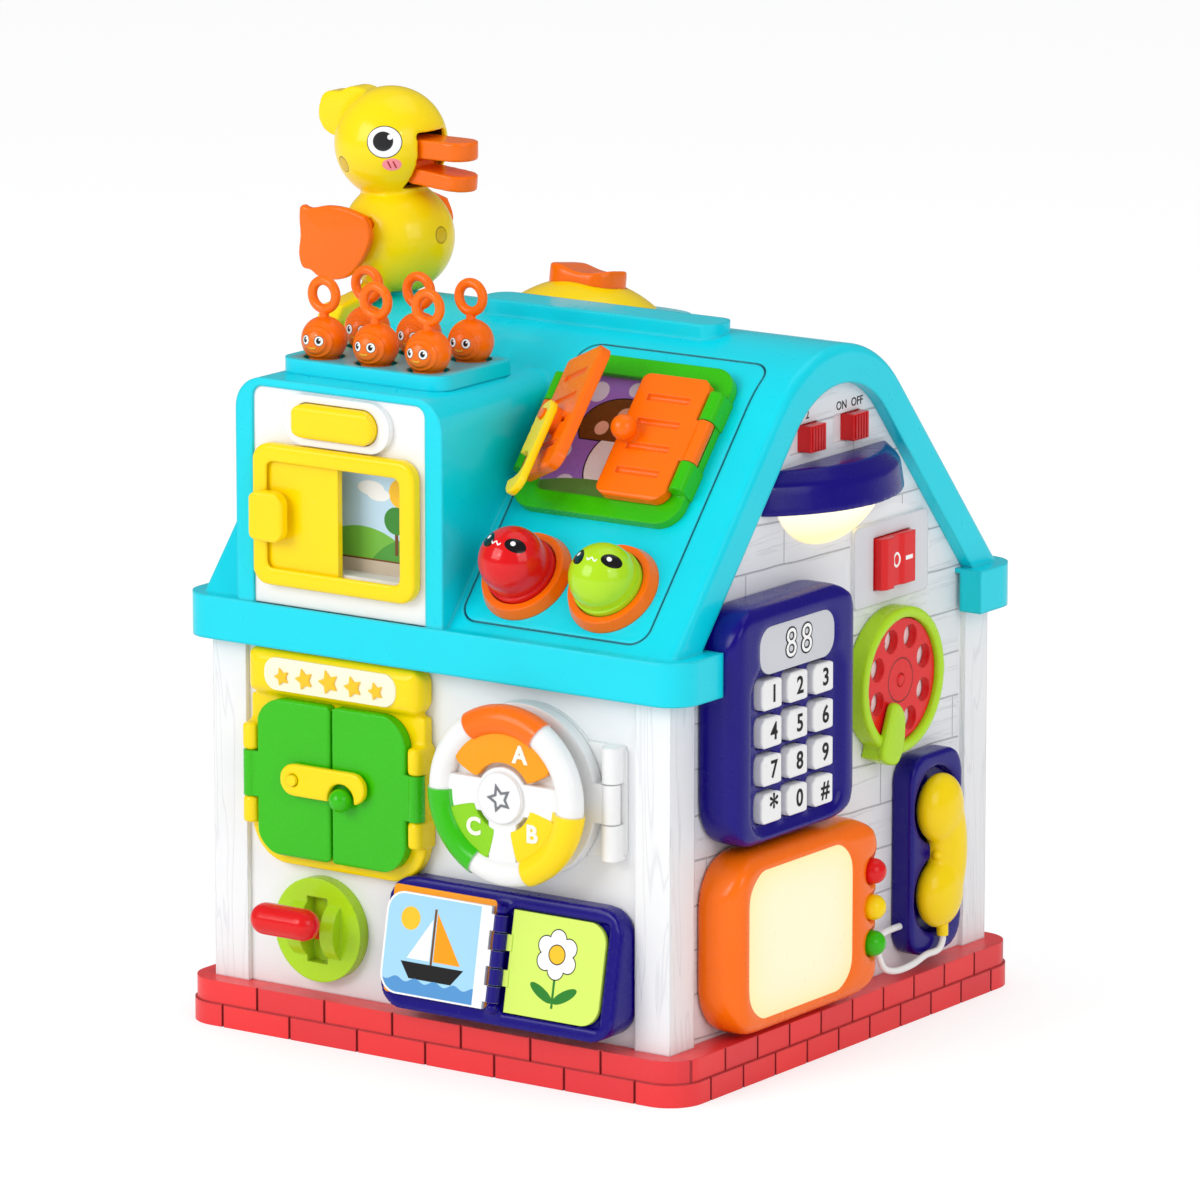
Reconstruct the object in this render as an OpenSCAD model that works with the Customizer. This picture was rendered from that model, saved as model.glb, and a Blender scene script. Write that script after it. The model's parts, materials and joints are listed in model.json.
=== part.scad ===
// Activity house for small children: a brick plinth, plank walls and a steep roof that carry
// doors, shutters, a steering wheel, a lever, a flip book, a keypad, a dial, a television, a
// telephone, pull-out fish and a duck.
// Frame: +Z up, origin at the bottom centre of the plinth. The front wall with the window faces -Y,
// the gable with the keypad faces +X and the ridge runs along X.

/* [Walls] */
// width of the walls over the corner posts, along X
wall_w = 240; // [236:1:260]
// depth of the walls over the corner posts, along Y
wall_d = 246; // [242:1:270]
// height of the walls from the plinth to the eave
wall_h = 152; // [152:1:170]
// thickness of the wall panels
wall_t = 3; // [2.5:0.1:4]
// width of a corner post
post_w = 18; // [14:1:19]
// set-back of the panels behind the posts
panel_set = 2.5; // [1:0.1:3]

/* [Plinth] */
// how far the plinth stands out from the posts
plinth_lip = 12; // [9:0.5:16]
// height of one brick course
course_h = 10; // [8:0.5:14]
// how far the upper course stands in
course_step = 1; // [0.5:0.1:2]
// corner radius of the plinth
plinth_r = 16; // [8:1:24]
// length of a brick on the front and back
brick_front = 36.3; // [28:0.1:44]
// length of a brick on the gable sides
brick_side = 24.4; // [18:0.1:30]
// width and depth of the brick joints
brick_joint = 1.1; // [0.8:0.1:1.5]
// wall of the plinth shell
plinth_t = 4; // [3:0.5:6]

/* [Roof] */
// slope of the roof
roof_angle = 49.5; // [48:0.5:51]
// radius of the rounded ridge
ridge_r = 62; // [58:1:66]
// thickness of the roof shell
roof_t = 3; // [2.5:0.1:4]
// how far the eave stands out from the posts
eave_lip = 9.5; // [7:0.5:12]
// height of the eave band
eave_h = 19; // [16:1:22]
// corner radius of the eave band
eave_r = 14; // [8:1:18]
// set-back of the slope on top of the eave band
slope_set = 5.5; // [4:0.5:7]
// width of the gable rim
rim_t = 16.5; // [12:0.5:18]
// how far the gable rim stands out from the gable panel
rim_out = 6; // [4:0.5:8]
// rounding of the rim's outer edge
rim_edge = 4; // [2:0.5:5]
// length of the eave's return on the gable, from the post's corner
eave_return = 23; // [21:1:26]

/* [Dormer] */
// left side of the dormer
dormer_x0 = -101; // [-104:1:-98]
// right side of the dormer
dormer_x1 = 8; // [6:1:10]
// height of the dormer above the eave
dormer_h = 98; // [94:1:99]
// set-back of the dormer's front from the eave
dormer_set = 2; // [1.5:0.5:4]
// width of the dormer's side walls
dormer_side = 9; // [7:0.5:10]
// thickness of the dormer's top
dormer_top = 3.5; // [3:0.5:4.5]
// corner radius of the dormer
dormer_r = 14; // [8:1:18]
// width of the sliding-door frame
slider_w = 86; // [82:1:88]
// height of the sliding-door frame
slider_h = 62; // [58:1:63]
// border of the sliding-door frame
slider_border = 8; // [7:0.5:9]
// width of the sliding door
slider_door_w = 40; // [34:1:42]

/* [Fish] */
// distance between fish along the tray
fish_px = 27.5; // [26.5:0.5:28]
// distance between the two rows of fish
fish_py = 31; // [29:0.5:32]
// radius of a fish
fish_r = 10; // [9.5:0.5:11]
// radius of the finger ring on a fish, to the middle of its bar
fish_ring = 6.2; // [5.6:0.1:6.6]
// radius of the ring's bar
fish_bar = 2.1; // [1.8:0.1:2.4]
// height of the tray
tray_h = 6.5; // [6:0.5:9]

/* [Duck] */
// radius of the head
duck_head_r = 25; // [24:0.5:26]
// radius of the body
duck_body_r = 25; // [24:0.5:25.5]
// height of the body's centre above the ridge
duck_rise = 24; // [22:0.5:26]
// distance from the body's centre to the head's
duck_neck = 41.5; // [40:0.5:43]
// place of the duck along the ridge
duck_x = -110; // [-112:1:-108]
// width of the beak
beak_w = 20; // [16:1:24]
// length of the beak in front of the head
beak_l = 20; // [18:1:24]

/* [Shutters] */
// width of the roof window's frame
shutter_frame_w = 86; // [84:1:90]
// height of the roof window's frame
shutter_frame_h = 77; // [74:1:79]
// opening of the left shutter as it rests
shutter_open = 34; // [20:1:60]
// radius of the dome buttons
ball_r = 14.6; // [13:0.1:15]
// width of a dome button's ring
ball_ring = 4.5; // [4:0.5:5]

/* [Window] */
// width of the window frame
window_w = 93; // [92:1:98]
// height of the window frame
window_h = 74; // [72:1:76]
// distance of the hinge pins from the middle of the window
window_hinge = 44; // [43.5:0.5:45]
// thickness of the doors
door_t = 5; // [4:0.5:6]
// radius of the ball catch
catch_r = 5.2; // [4.5:0.1:5.5]

/* [Steering wheel] */
// radius of the wheel to the middle of its rim
wheel_r = 33; // [30:0.5:34]
// radius of the rim's bar
wheel_bar = 5.8; // [5:0.1:6]
// radius of the round door that carries the wheel
wheel_door_r = 38; // [34:0.5:38]

/* [Lever] */
// radius of the lever's disc
lever_r = 23; // [21:0.5:23.5]
// length of the lever's cross handle
lever_bar = 34; // [28:1:36]

/* [Book] */
// width of the book
book_w = 122; // [118:1:124]
// height of the book
book_h = 56; // [54:1:57]
// lean of the book's face
book_lean = 11; // [8:0.5:12]
// width of the right page
page_w = 53; // [48:1:54]
// width of the left page
left_page_w = 59; // [54:1:60]
// height of a page
page_h = 44; // [41:1:45]
// thickness of a page
page_t = 2.2; // [2:0.1:2.4]

/* [Gable units] */
// depth of the keypad housing
pad_d = 20; // [16:0.5:22]
// width of the keypad housing
pad_w = 94; // [90:1:95]
// height of the keypad housing
pad_h = 104; // [100:1:105]
// distance between keys along a row
key_px = 19.6; // [18.5:0.1:20]
// distance between rows of keys
key_py = 16.3; // [15.5:0.1:16.8]
// radius of the dial disc
dial_r = 27; // [25:0.5:28]
// width of the dial's ring
dial_ring_w = 5; // [4:0.5:5.5]
// width of the television
tv_w = 114; // [108:1:116]
// height of the television
tv_h = 80; // [76:1:81]
// depth of the television
tv_d = 22; // [18:0.5:24]
// radius of the lamp shade at its lower edge
shade_r = 70; // [66:0.5:72]
// how far the lamp shade stands out from the gable
shade_out = 25; // [20:0.5:28]
// height of the lamp shade
shade_h = 18.5; // [16:0.5:20]

/* [Telephone] */
// width of the handset cradle
cradle_w = 41; // [38:1:44]
// height of the handset cradle
cradle_h = 90; // [86:1:92]
// depth of the handset cradle
cradle_d = 11; // [10:0.5:13]
// distance between the ends of the handset
handset_l = 40; // [36:1:42]
// radius of a handset end
handset_r = 15; // [13:0.5:15.5]
// diameter of the cord
cord_d = 3; // [2.4:0.1:3.6]

/* [Fits] */
// gap between the gable panel and the inside of the roof
seat_gap = 0.2; // [0.1:0.05:0.3]
// gap round a piece that moves
move_gap = 0.4; // [0.3:0.05:0.6]
// radial clearance of a pin in its bore
pin_gap = 0.08; // [0.05:0.01:0.1]
// radius of the hinge pins
pin_r = 1.6; // [1.4:0.1:1.9]

/* [Hidden] */
$fn = 48;
plinth_h = 2 * course_h;
plinth_w = wall_w + 2 * plinth_lip;
plinth_d = wall_d + 2 * plinth_lip - 4;
eave_z = plinth_h + wall_h;
roof_z = eave_z + eave_h;
eave_w = wall_w + 2 * eave_lip + 3;
eave_d = wall_d + 2 * eave_lip - 1;
gable_x = wall_w / 2 - panel_set;
front_y = wall_d / 2 - panel_set;
rim_x = gable_x + rim_out;
rim_slice = rim_edge + 0.5;
foot_y = eave_d / 2 - slope_set;
slope_k = foot_y * sin(roof_angle) + roof_z * cos(roof_angle);
ridge_zc = (slope_k - ridge_r) / cos(roof_angle);
ridge_z = ridge_zc + ridge_r;
bore_r = pin_r + pin_gap;

// dormer
dormer_z = roof_z + dormer_h;
dormer_y = eave_d / 2 - dormer_set;
dormer_xc = (dormer_x0 + dormer_x1) / 2;
dormer_w = dormer_x1 - dormer_x0;
front_t = 4;
front_in = 1;
slider_z = roof_z + 9 + slider_h / 2;
slider_t = 6;
slider_lip = 2;
slider_bevel = 4;
slider_x0 = -slider_w / 2 + slider_border / 2;
slider_door_t = slider_t - slider_lip - 2 * move_gap;
pill_w = 57;
pill_h = 22;
pill_z = slider_z + slider_h / 2 + pill_h / 2 + 0.5;
pill_t = 3;
button_w = pill_w - 13;
button_h = pill_h - 7;
press = 2.2;

// fish
tray_z = dormer_z;
tray_top = tray_z + tray_h;
tray_y = -87;
tray_w = 2 * fish_px + 3.15 * fish_r;
tray_d = fish_py + 2.6 * fish_r;
socket_r = fish_r - 1;
socket_depth = 4;
fish_z = tray_top + 0.75 * fish_r;

// duck
duck_z = ridge_z + duck_rise;
duck_head_x = duck_x - 3.5;
duck_head_z = duck_z + duck_neck;
duck_pad_z = ridge_z + 1;
duck_post_r = 8;
wing_z = duck_z + 8;
wing_t = 4;
wing_y = duck_body_r + 2.5;
axle_r = 3;
beak_t = 8.5;
jaw_open = 5;
tuft_t = 12;
jaw_x = duck_head_x + 15;
jaw_z = duck_head_z - 8;

// ridge
block_x0 = -56;
block_x1 = 68;
block_y0 = -16;
block_y1 = 3;
block_z = ridge_z + 5;
knob_x = -33.5;
knob_y = 34.5;
knob_z = ridge_z - 3.5;
knob_tilt = 8;
knob_base = 31;
knob_l = 34;
knob_b = 25;
dome_r = 50;

// roof window, along the slope from its foot
panel_x = 59;
panel_w = 96;
panel_s0 = 4.5;
panel_s1 = 147;
groove = 1;
win_x = 56;
win_s = 98.5;
win_t = 4.5;
shut_w = 35.5;
shut_h = 60;
shut_t = 5;
shut_axis = 40;
shut_latch_x = 22;
shut_latch_s = -5.5;
shut_z = win_t + move_gap + shut_t / 2;
knuckle_r = 3.8;
ball_s = 29;
ball_x = [36, 80.5];
ball_rise = [11, 7.5];
ring_h = 5;

// window
window_x = -50.5;
window_z = plinth_h + 56 + window_h / 2;
window_t = 6;
header_h = 22;
door_dz = 2.5;
header_d = 11;
door_w = window_hinge - 5;
door_h = window_h - 5;
door_z = window_t + move_gap + door_t / 2;
latch_t = 3.5;
latch_h = 14;
latch_x = -17;
latch_dz = 1;
latch_l = 31;
catch_x = 8.5;
catch_z = -4.5;
catch_gap = 1.7;

// steering wheel
wheel_x = 48;
wheel_z = plinth_h + 106;
wheel_axis = 92;
wheel_door_t = 6;
wheel_door_z = 2 + move_gap;
wheel_hinge_z = wheel_door_z + wheel_door_t / 2;
wheel_zc = 19.5;
hub_r = 11;
wheel_knuckle = 17;
wheel_block = 49;

// lever
lever_x = -62;
lever_z = plinth_h + 29;
lever_t = 6;
lever_hump = 25;
lever_hump_r = 14.5;
lever_hub = 4.2;
lever_axis = 5.5;
lever_slot = 10;
lever_rest = 20;
lever_reach = 25;

// book
book_x = wall_w / 2 - post_w - 0.7 - book_w / 2;
book_z = plinth_h + 5 + book_h / 2;
book_top = 8.5;
book_mid = book_top + book_h / 2 * tan(book_lean);
page_gap = 0.5;
spine_z = page_t / 2 + page_gap;
spine_r = 2.8;
spine_step = 7.6;
right_drop = page_t + page_gap;

// gable units
pad_y = -53;
pad_z = plinth_h + 84 + pad_h / 2;
pad_recess_w = 69;
pad_recess_h = 73;
pad_recess_z = -11.5;
pad_recess_d = 3;
key_w = 15;
key_h = 13;
key_t = 7;
key_travel = 1.5;
keys_z = pad_recess_z;
dial_y = 45.5;
dial_z = plinth_h + 132;
dial_plate = 3;
dial_t = 4;
dial_hole = 5.2;
dial_holes = 8;
stop_angle = -112;
tv_y = -44;
tv_z = plinth_h + 2 + tv_h / 2;
tv_screen_w = 82;
tv_screen_h = 66;
tv_screen_x = -7;
tv_button_x = 49;
tv_button_r = 5.6;
tv_button_p = 16;
tv_button_z = -1;
shade_z = plinth_h + 219;
shade_axis = gable_x + shade_out - shade_r;
lens_c = [shade_r - 45, 13];
lens_r = 38;
lens_t = 3;
switch_z = plinth_h + 248;
switch_y = [-16, 17];
switch_w = 11.5;
switch_h = 11.5;
switch_t = 7;
switch_travel = 8;
switch_pocket = 2;
rocker_y = 46;
rocker_z = plinth_h + 184.5;
rocker_w = 27;
rocker_h = 22.5;
rocker_plate_w = 58;
rocker_plate_h = 36;
rocker_plate_t = 2;
rocker_axis = -0.5;

// telephone
cradle_y = 70.5;
cradle_z = plinth_h + 6 + cradle_h / 2;
cradle_floor = 5;
handset_t = 15;
handset_bar = 15;
handset_z = cradle_z + 1;
stub_r = 2.6;
stub_l = 3;
cord_r = cord_d / 2;
cord_sides = 8;
cord_out = cradle_floor + handset_t / 2 + 1.5;
cord_x = gable_x + cord_out;
cord_top = handset_z - handset_l / 2 - handset_r - stub_l;
cord_in_y = cradle_y - cradle_w / 2;
cord_in_x = gable_x + 5;
// route of the cord from the handset's lower end to the side of the cradle
cord_route = [
    [cord_x, cradle_y, cord_top],
    [cord_x, cradle_y, cord_top - 2.5],
    [cord_x, cradle_y - 3.5, cord_top - 6],
    [cord_x - 0.5, 58, 27.5],
    [cord_x - 1, 48, 25.2],
    [cord_x - 2, 37, 24.6],
    [cord_x - 3, 29, 27],
    [cord_x - 4, 26, 32.5],
    [cord_in_x + 1.5, 29, 38],
    [cord_in_x + 0.5, 36, 40.5],
    [cord_in_x, 44, 40.8],
    [cord_in_x, cord_in_y, 40.8]
];
cord_steps = 4;

cyan = [0.05, 0.82, 0.9];
brick_red = [0.9, 0.35, 0.35];
white = [0.93, 0.93, 0.92];
yellow = [0.98, 0.84, 0.05];
orange = [0.98, 0.5, 0.08];
green = [0.28, 0.75, 0.1];
lime = [0.7, 0.88, 0.15];
red = [0.88, 0.1, 0.12];
indigo = [0.16, 0.05, 0.55];
blue = [0.45, 0.78, 0.95];
cream = [1, 0.98, 0.86];
board_green = [0.1, 0.4, 0.25];

// Frames

// x along X, y up and z out of the front wall's panel
module on_front(x, z) {
    translate([x, -front_y, z]) rotate([90, 0, 0]) children();
}

// x along Y, y up and z out of the gable's panel
module on_gable(y, z) {
    translate([gable_x, y, z]) rotate([90, 0, 90]) children();
}

// x along X, y up the front slope from its foot and z out of it
module on_slope(x, s) {
    translate([0, -foot_y, roof_z]) rotate([roof_angle, 0, 0]) translate([x, s, 0]) children();
}

// x along X, y up the leaning face of the book and z out of it
module on_book() {
    on_front(book_x, book_z) translate([0, 0, book_mid]) rotate([-book_lean, 0, 0]) children();
}

// a profile in Y and Z pushed along X
module along_x(x0, x1) {
    translate([x0, 0, 0]) rotate([90, 0, 90]) linear_extrude(x1 - x0) children();
}

// a profile in X and Z pushed along Y
module along_y(y0, y1) {
    translate([0, y1, 0]) rotate([90, 0, 0]) linear_extrude(y1 - y0) children();
}

// Shapes

// rectangle with round corners, centred
module rrect(w, h, r) {
    square([w - 2 * r, h], center = true);
    square([w, h - 2 * r], center = true);
    for (x = [-1, 1], y = [-1, 1])
        translate([x * (w / 2 - r), y * (h / 2 - r)]) circle(r);
}

// profile of height d whose two upper corners are rounded by e
module dcap(w, d, e) {
    translate([-w / 2, -1]) square([w, d - e + 1]);
    translate([-w / 2 + e, -1]) square([w - 2 * e, d + 1]);
    for (s = [-1, 1])
        translate([s * (w / 2 - e), d - e]) circle(e);
}

// block of face w by h and depth d, with corners r and front edges rounded by e
module pillow(w, h, d, r, e) {
    intersection() {
        linear_extrude(d) rrect(w, h, r);
        translate([0, h, 0]) rotate([90, 0, 0]) linear_extrude(2 * h) dcap(w, d, e);
        translate([-w, 0, 0]) rotate([90, 0, 90]) linear_extrude(2 * w) dcap(h, d, e);
    }
}

// round bar along y, centred
module rod(r, l) {
    rotate([90, 0, 0]) cylinder(h = l, r = r, center = true);
}

// cross-section of the gabled roof from height z0 up, set in by inset
module gable2d(inset, z0) {
    r = ridge_r - inset;
    ty = r * sin(roof_angle);
    tz = ridge_zc + r * cos(roof_angle);
    foot = (slope_k - inset - z0 * cos(roof_angle)) / sin(roof_angle);
    polygon([[-foot, z0], [foot, z0], [ty, tz], [-ty, tz]]);
    intersection() {
        translate([0, ridge_zc]) circle(r);
        translate([-r, tz - 4]) square([2 * r, r]);
    }
}

// Shell

module brick_joints(len, n, pitch, z0, start) {
    for (k = [0 : n - 1])
        translate([start + k * pitch, 0, z0 + course_h / 2])
            cube([brick_joint, 2 * brick_joint, course_h + 0.02], center = true);
}

module base_plinth() color(brick_red) {
    nf = floor((plinth_w - 2 * plinth_r) / brick_front) + 1;
    ns = floor((plinth_d - 2 * plinth_r) / brick_side) + 1;
    difference() {
        union() {
            linear_extrude(course_h) rrect(plinth_w, plinth_d, plinth_r);
            linear_extrude(plinth_h)
                rrect(plinth_w - 2 * course_step, plinth_d - 2 * course_step, plinth_r - course_step);
        }
        translate([0, 0, plinth_t])
            linear_extrude(plinth_h - 2 * plinth_t)
                rrect(plinth_w - 4 * plinth_t, plinth_d - 4 * plinth_t, plinth_r - plinth_t);
        battery_pocket(0, plinth_h - plinth_t);
        for (c = [0, 1], s = [-1, 1]) {
            in = c * course_step;
            translate([0, s * (plinth_d / 2 - in), 0])
                brick_joints(plinth_w, nf - c, brick_front, c * course_h,
                    -(nf - 1 - c) / 2 * brick_front);
            translate([s * (plinth_w / 2 - in), 0, 0]) rotate(90)
                brick_joints(plinth_d, ns - c, brick_side, c * course_h,
                    -(ns - 1 - c) / 2 * brick_side);
        }
    }
}

door_l = 70;
door_b = 60;
door_y = 40;

module battery_pocket(grow, depth) {
    translate([0, door_y, -1]) linear_extrude(depth + 1)
        rrect(door_l + 2 * grow, door_b + 2 * grow, 4);
}

module battery_door() color(white) {
    translate([0, door_y, 0]) difference() {
        linear_extrude(plinth_t - 1) rrect(door_l - 2 * move_gap, door_b - 2 * move_gap, 4 - move_gap);
        for (s = [-1, 1])
            translate([s * (door_l / 2 - 7), 0, -1]) cylinder(h = plinth_t + 2, r = 2);
    }
    for (s = [-1, 1])
        translate([0, door_y + s * (door_b / 2 - move_gap - 3), plinth_t - 1.01])
            translate([-10, -2, 0]) cube([20, 4, plinth_h - 2 * plinth_t + 1]);
}

module sound_board() color(board_green) {
    translate([-40, -70, plinth_h]) cube([80, 55, 1.6]);
    translate([0, -42, plinth_h + 1.6]) cylinder(h = 18, r = 22);
}

module wall_shell() color(white) {
    top = roof_z - 2;
    inner_x = gable_x - wall_t;
    inner_y = front_y - wall_t;
    difference() {
        union() {
            translate([-wall_w / 2, -wall_d / 2, plinth_h]) cube([wall_w, wall_d, top - plinth_h]);
            along_x(-gable_x, gable_x) gable2d(roof_t + seat_gap, top);
            on_gable(rocker_y, rocker_z)
                linear_extrude(rocker_plate_t) rrect(rocker_plate_w, rocker_plate_h, 3);
        }
        for (s = [-1, 1]) {
            translate([0, s * (front_y + 10), eave_z]) cube([wall_w - 2 * post_w, 20, 2 * wall_h], center = true);
            difference() {
                translate([s * (gable_x + 10), 0, eave_z])
                    cube([20, wall_d - 2 * post_w, 2 * wall_h], center = true);
                on_gable(rocker_y, rocker_z)
                    linear_extrude(rocker_plate_t) rrect(rocker_plate_w, rocker_plate_h, 3);
            }
        }
        translate([-inner_x, -inner_y, plinth_h - 1]) cube([2 * inner_x, 2 * inner_y, top - plinth_h + 1.01]);
        along_x(-inner_x, inner_x) gable2d(roof_t - 1, top);
        for (y = switch_y)
            on_gable(y - switch_travel / 2, switch_z) translate([0, 0, -switch_pocket])
                linear_extrude(switch_pocket + 1)
                    square([switch_w + switch_travel + 2 * move_gap, switch_h + 2 * move_gap], center = true);
        on_gable(rocker_y, rocker_z) {
            translate([0, 0, -wall_t - 1]) linear_extrude(wall_t + rocker_plate_t + 2)
                square([rocker_w + 4 * move_gap, rocker_h + 2 * move_gap], center = true);
            translate([0, 0, rocker_axis]) rod(1.2 + pin_gap, rocker_h + 6.2);
        }
    }
}

// section of a gable rim across the slope, with a rounded outer edge, set in by d
module rim_profile(d) {
    intersection() {
        translate([0, ridge_r - rim_t - 1 - d]) dcap(2 * (rim_x - d), rim_t + 1, rim_edge);
        translate([rim_x - rim_slice - 2, 0]) square([2 * rim_slice, 2 * ridge_r]);
    }
}

// the two slopes with the rounded ridge between them, and the rims let into their ends
module roof_body() {
    leg = (ridge_zc + ridge_r * cos(roof_angle) - roof_z + 1) / sin(roof_angle);
    along_x(-rim_x + rim_slice, rim_x - rim_slice) gable2d(0, roof_z - 1);
    for (e = [0, 1])
        mirror([e, 0, 0]) translate([0, 0, ridge_zc]) {
            for (m = [0, 1])
                mirror([0, m, 0]) rotate([90 + roof_angle, 0, 0]) linear_extrude(leg) rim_profile(0.01);
            rotate([90, 0, 90]) rotate(89 - roof_angle)
                rotate_extrude(angle = 2 * roof_angle + 2) rotate(-90) mirror([1, 0]) rim_profile(0.03);
        }
}

// outline of the dormer's front, drawn in X and Z
module dormer2d(side, top) {
    r = max(dormer_r - side, 3);
    x0 = dormer_x0 + side;
    x1 = dormer_x1 - side;
    z1 = dormer_z - top;
    translate([x0, roof_z - 1]) square([x1 - x0, z1 - r - roof_z + 1]);
    translate([x0 + r, roof_z - 1]) square([x1 - x0 - 2 * r, z1 - roof_z + 1]);
    for (x = [x0 + r, x1 - r])
        translate([x, z1 - r]) circle(r);
}

module roof_shell() color(cyan) {
    return_y = wall_d / 2 - eave_return;
    difference() {
        union() {
            roof_body();
            translate([0, 0, eave_z]) linear_extrude(eave_h) rrect(eave_w, eave_d, eave_r);
            along_y(-dormer_y, -30) dormer2d(0, 0);
            translate([(block_x0 + block_x1) / 2, (block_y0 + block_y1) / 2, ridge_z - 20])
                linear_extrude(block_z - ridge_z + 20)
                    rrect(block_x1 - block_x0, block_y1 - block_y0, 8);
            translate([duck_x, 0, ridge_z - 12]) cylinder(h = 12 + duck_pad_z - ridge_z, r = duck_post_r + 0.5);
            translate([knob_x, knob_y, knob_z]) rotate([-knob_tilt, 0, 0])
                translate([8, 0, -24]) cylinder(h = 24, r = knob_base + 8.5);
        }
        translate([-wall_w / 2, -wall_d / 2, eave_z - 1]) cube([wall_w, wall_d, eave_h - 1]);
        along_x(-gable_x, gable_x) gable2d(roof_t, roof_z - 2);
        along_y(-dormer_y - 1, -30) dormer2d(dormer_side, dormer_top);
        for (s = [0, 1])
            mirror([s, 0, 0]) {
                along_x(gable_x - 1, rim_x + 20) gable2d(rim_t, roof_z);
                translate([gable_x - 1, -return_y, eave_z - 1]) cube([30, 2 * return_y, eave_h + 1.5]);
            }
        intersection() {
            on_slope(panel_x, (panel_s0 + panel_s1) / 2) translate([0, 0, -40]) linear_extrude(60)
                difference() {
                    rrect(panel_w, panel_s1 - panel_s0, 9);
                    rrect(panel_w - 2 * groove, panel_s1 - panel_s0 - 2 * groove, 9 - groove);
                }
            along_x(-rim_x + 5, rim_x - 5) difference() {
                gable2d(-1, roof_z);
                gable2d(groove, roof_z - 5);
            }
        }
    }
}

// Dormer

module dormer_front() color(white) {
    y0 = -dormer_y + front_in;
    hole_w = slider_w - 2 * slider_border;
    hole_h = slider_h - 2 * slider_border;
    difference() {
        union() {
            along_y(y0, y0 + front_t) intersection() {
                dormer2d(dormer_side, dormer_top);
                translate([dormer_x0, roof_z]) square([dormer_w, dormer_h]);
            }
            translate([dormer_xc, y0 + 12, slider_z]) rotate([90, 0, 0])
                linear_extrude(12) rrect(hole_w + 6, hole_h + 6, 4);
            translate([dormer_xc, y0, pill_z]) rotate([90, 0, 0])
                linear_extrude(pill_t) rrect(pill_w, pill_h, pill_h / 2 - 0.01);
        }
        translate([dormer_xc, y0 + 10, slider_z]) rotate([90, 0, 0])
            linear_extrude(11) rrect(hole_w, hole_h, 2);
        translate([dormer_xc, y0 + front_t + 1, pill_z]) rotate([90, 0, 0])
            linear_extrude(front_t + pill_t + 2)
                rrect(button_w + 2 * move_gap, button_h + 2 * move_gap, button_h / 2 + move_gap - 0.01);
    }
}

module on_slider() {
    translate([dormer_xc, -dormer_y + front_in, slider_z]) rotate([90, 0, 0]) children();
}

module dormer_frame() color(yellow) {
    hole_w = slider_w - 2 * slider_border;
    hole_h = slider_h - 2 * slider_border;
    on_slider() difference() {
        pillow(slider_w, slider_h, slider_t, 9, 2);
        translate([0, 0, -1]) linear_extrude(slider_t + 2) rrect(hole_w, hole_h, 3);
        translate([0, 0, -1]) linear_extrude(slider_t - slider_lip + 1)
            square([slider_w - slider_border, slider_h - slider_border], center = true);
    }
}

module dormer_door() color(yellow) {
    h = slider_h - slider_border - 2 * move_gap;
    on_slider() translate([slider_x0 + move_gap, 0, 0]) {
        translate([0, -h / 2, move_gap / 4]) cube([slider_door_w, h, slider_door_t]);
        translate([slider_border / 2 + move_gap, -8, slider_door_t]) cube([8, 16, slider_t - slider_door_t + 1.5]);
        translate([6.5, 0, slider_t + move_gap]) pillow(18, 22, 5, 6, 2);
    }
}

module dormer_button() color(yellow) {
    y0 = -dormer_y + front_in;
    translate([dormer_xc, y0 + front_t - press, pill_z]) rotate([90, 0, 0])
        pillow(button_w, button_h, front_t - press + pill_t + 4, button_h / 2 - 0.01, 3);
}

module fish_tray() color(cyan) {
    translate([dormer_xc, tray_y, tray_z]) difference() {
        linear_extrude(tray_h) rrect(tray_w, tray_d, 9);
        for (x = [-1 : 1], y = [-0.5, 0.5])
            translate([x * fish_px, y * fish_py, tray_h - socket_depth])
                cylinder(h = socket_depth + 1, r = socket_r);
    }
}

module fish(i) color(orange) {
    x = dormer_xc + (i % 3 - 1) * fish_px;
    y = tray_y + (floor(i / 3) - 0.5) * fish_py;
    base = tray_top - socket_depth;
    translate([x, y, 0]) {
        difference() {
            union() {
                translate([0, 0, fish_z]) sphere(fish_r);
                translate([0, 0, base]) cylinder(h = fish_z - base, r = socket_r - 2.5);
            }
            translate([-fish_r, -fish_r, base - 10]) cube([2 * fish_r, 2 * fish_r, 10]);
        }
        translate([0, 0, fish_z + fish_r - 1]) cylinder(h = 3.2, r = fish_bar);
        translate([0, 0, fish_z + fish_r + fish_ring + fish_bar + 1]) rotate([90, 0, 0])
            rotate_extrude() translate([fish_ring, 0]) circle(fish_bar);
    }
}

module fish_1() fish(0);
module fish_2() fish(1);
module fish_3() fish(2);
module fish_4() fish(3);
module fish_5() fish(4);
module fish_6() fish(5);

// Duck

module duck_body() color(yellow) {
    difference() {
        union() {
            intersection() {
                translate([duck_x, 0, duck_z]) sphere(duck_body_r);
                translate([duck_x - 50, -50, duck_pad_z]) cube(100);
            }
            translate([duck_head_x, 0, duck_head_z]) sphere(duck_head_r);
            along_y(-tuft_t / 2, tuft_t / 2) translate([duck_head_x, duck_head_z]) tuft2d();
            translate([duck_x, 0, duck_pad_z]) cylinder(h = duck_rise, r = duck_post_r);
            duck_stay();
        }
        translate([duck_x, 0, wing_z]) rod(axle_r + pin_gap, 3 * duck_body_r);
        translate([jaw_x - 6, -beak_w / 2 - move_gap, jaw_z - 10])
            cube([40, beak_w + 2 * move_gap, 25]);
        translate([jaw_x, 0, jaw_z]) rod(pin_r + pin_gap, beak_w + 7);
    }
}

// tuft at the back of the head, in X and Z about the head's centre
module tuft2d() {
    translate([-26, 11]) circle(10);
    translate([-29, 15]) circle(6);
    translate([-16, 12]) circle(12);
    polygon([[-34.5, 12], [-33, 19], [-28, 21], [-8, 22], [-8, 0], [-24, 0]]);
}

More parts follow.
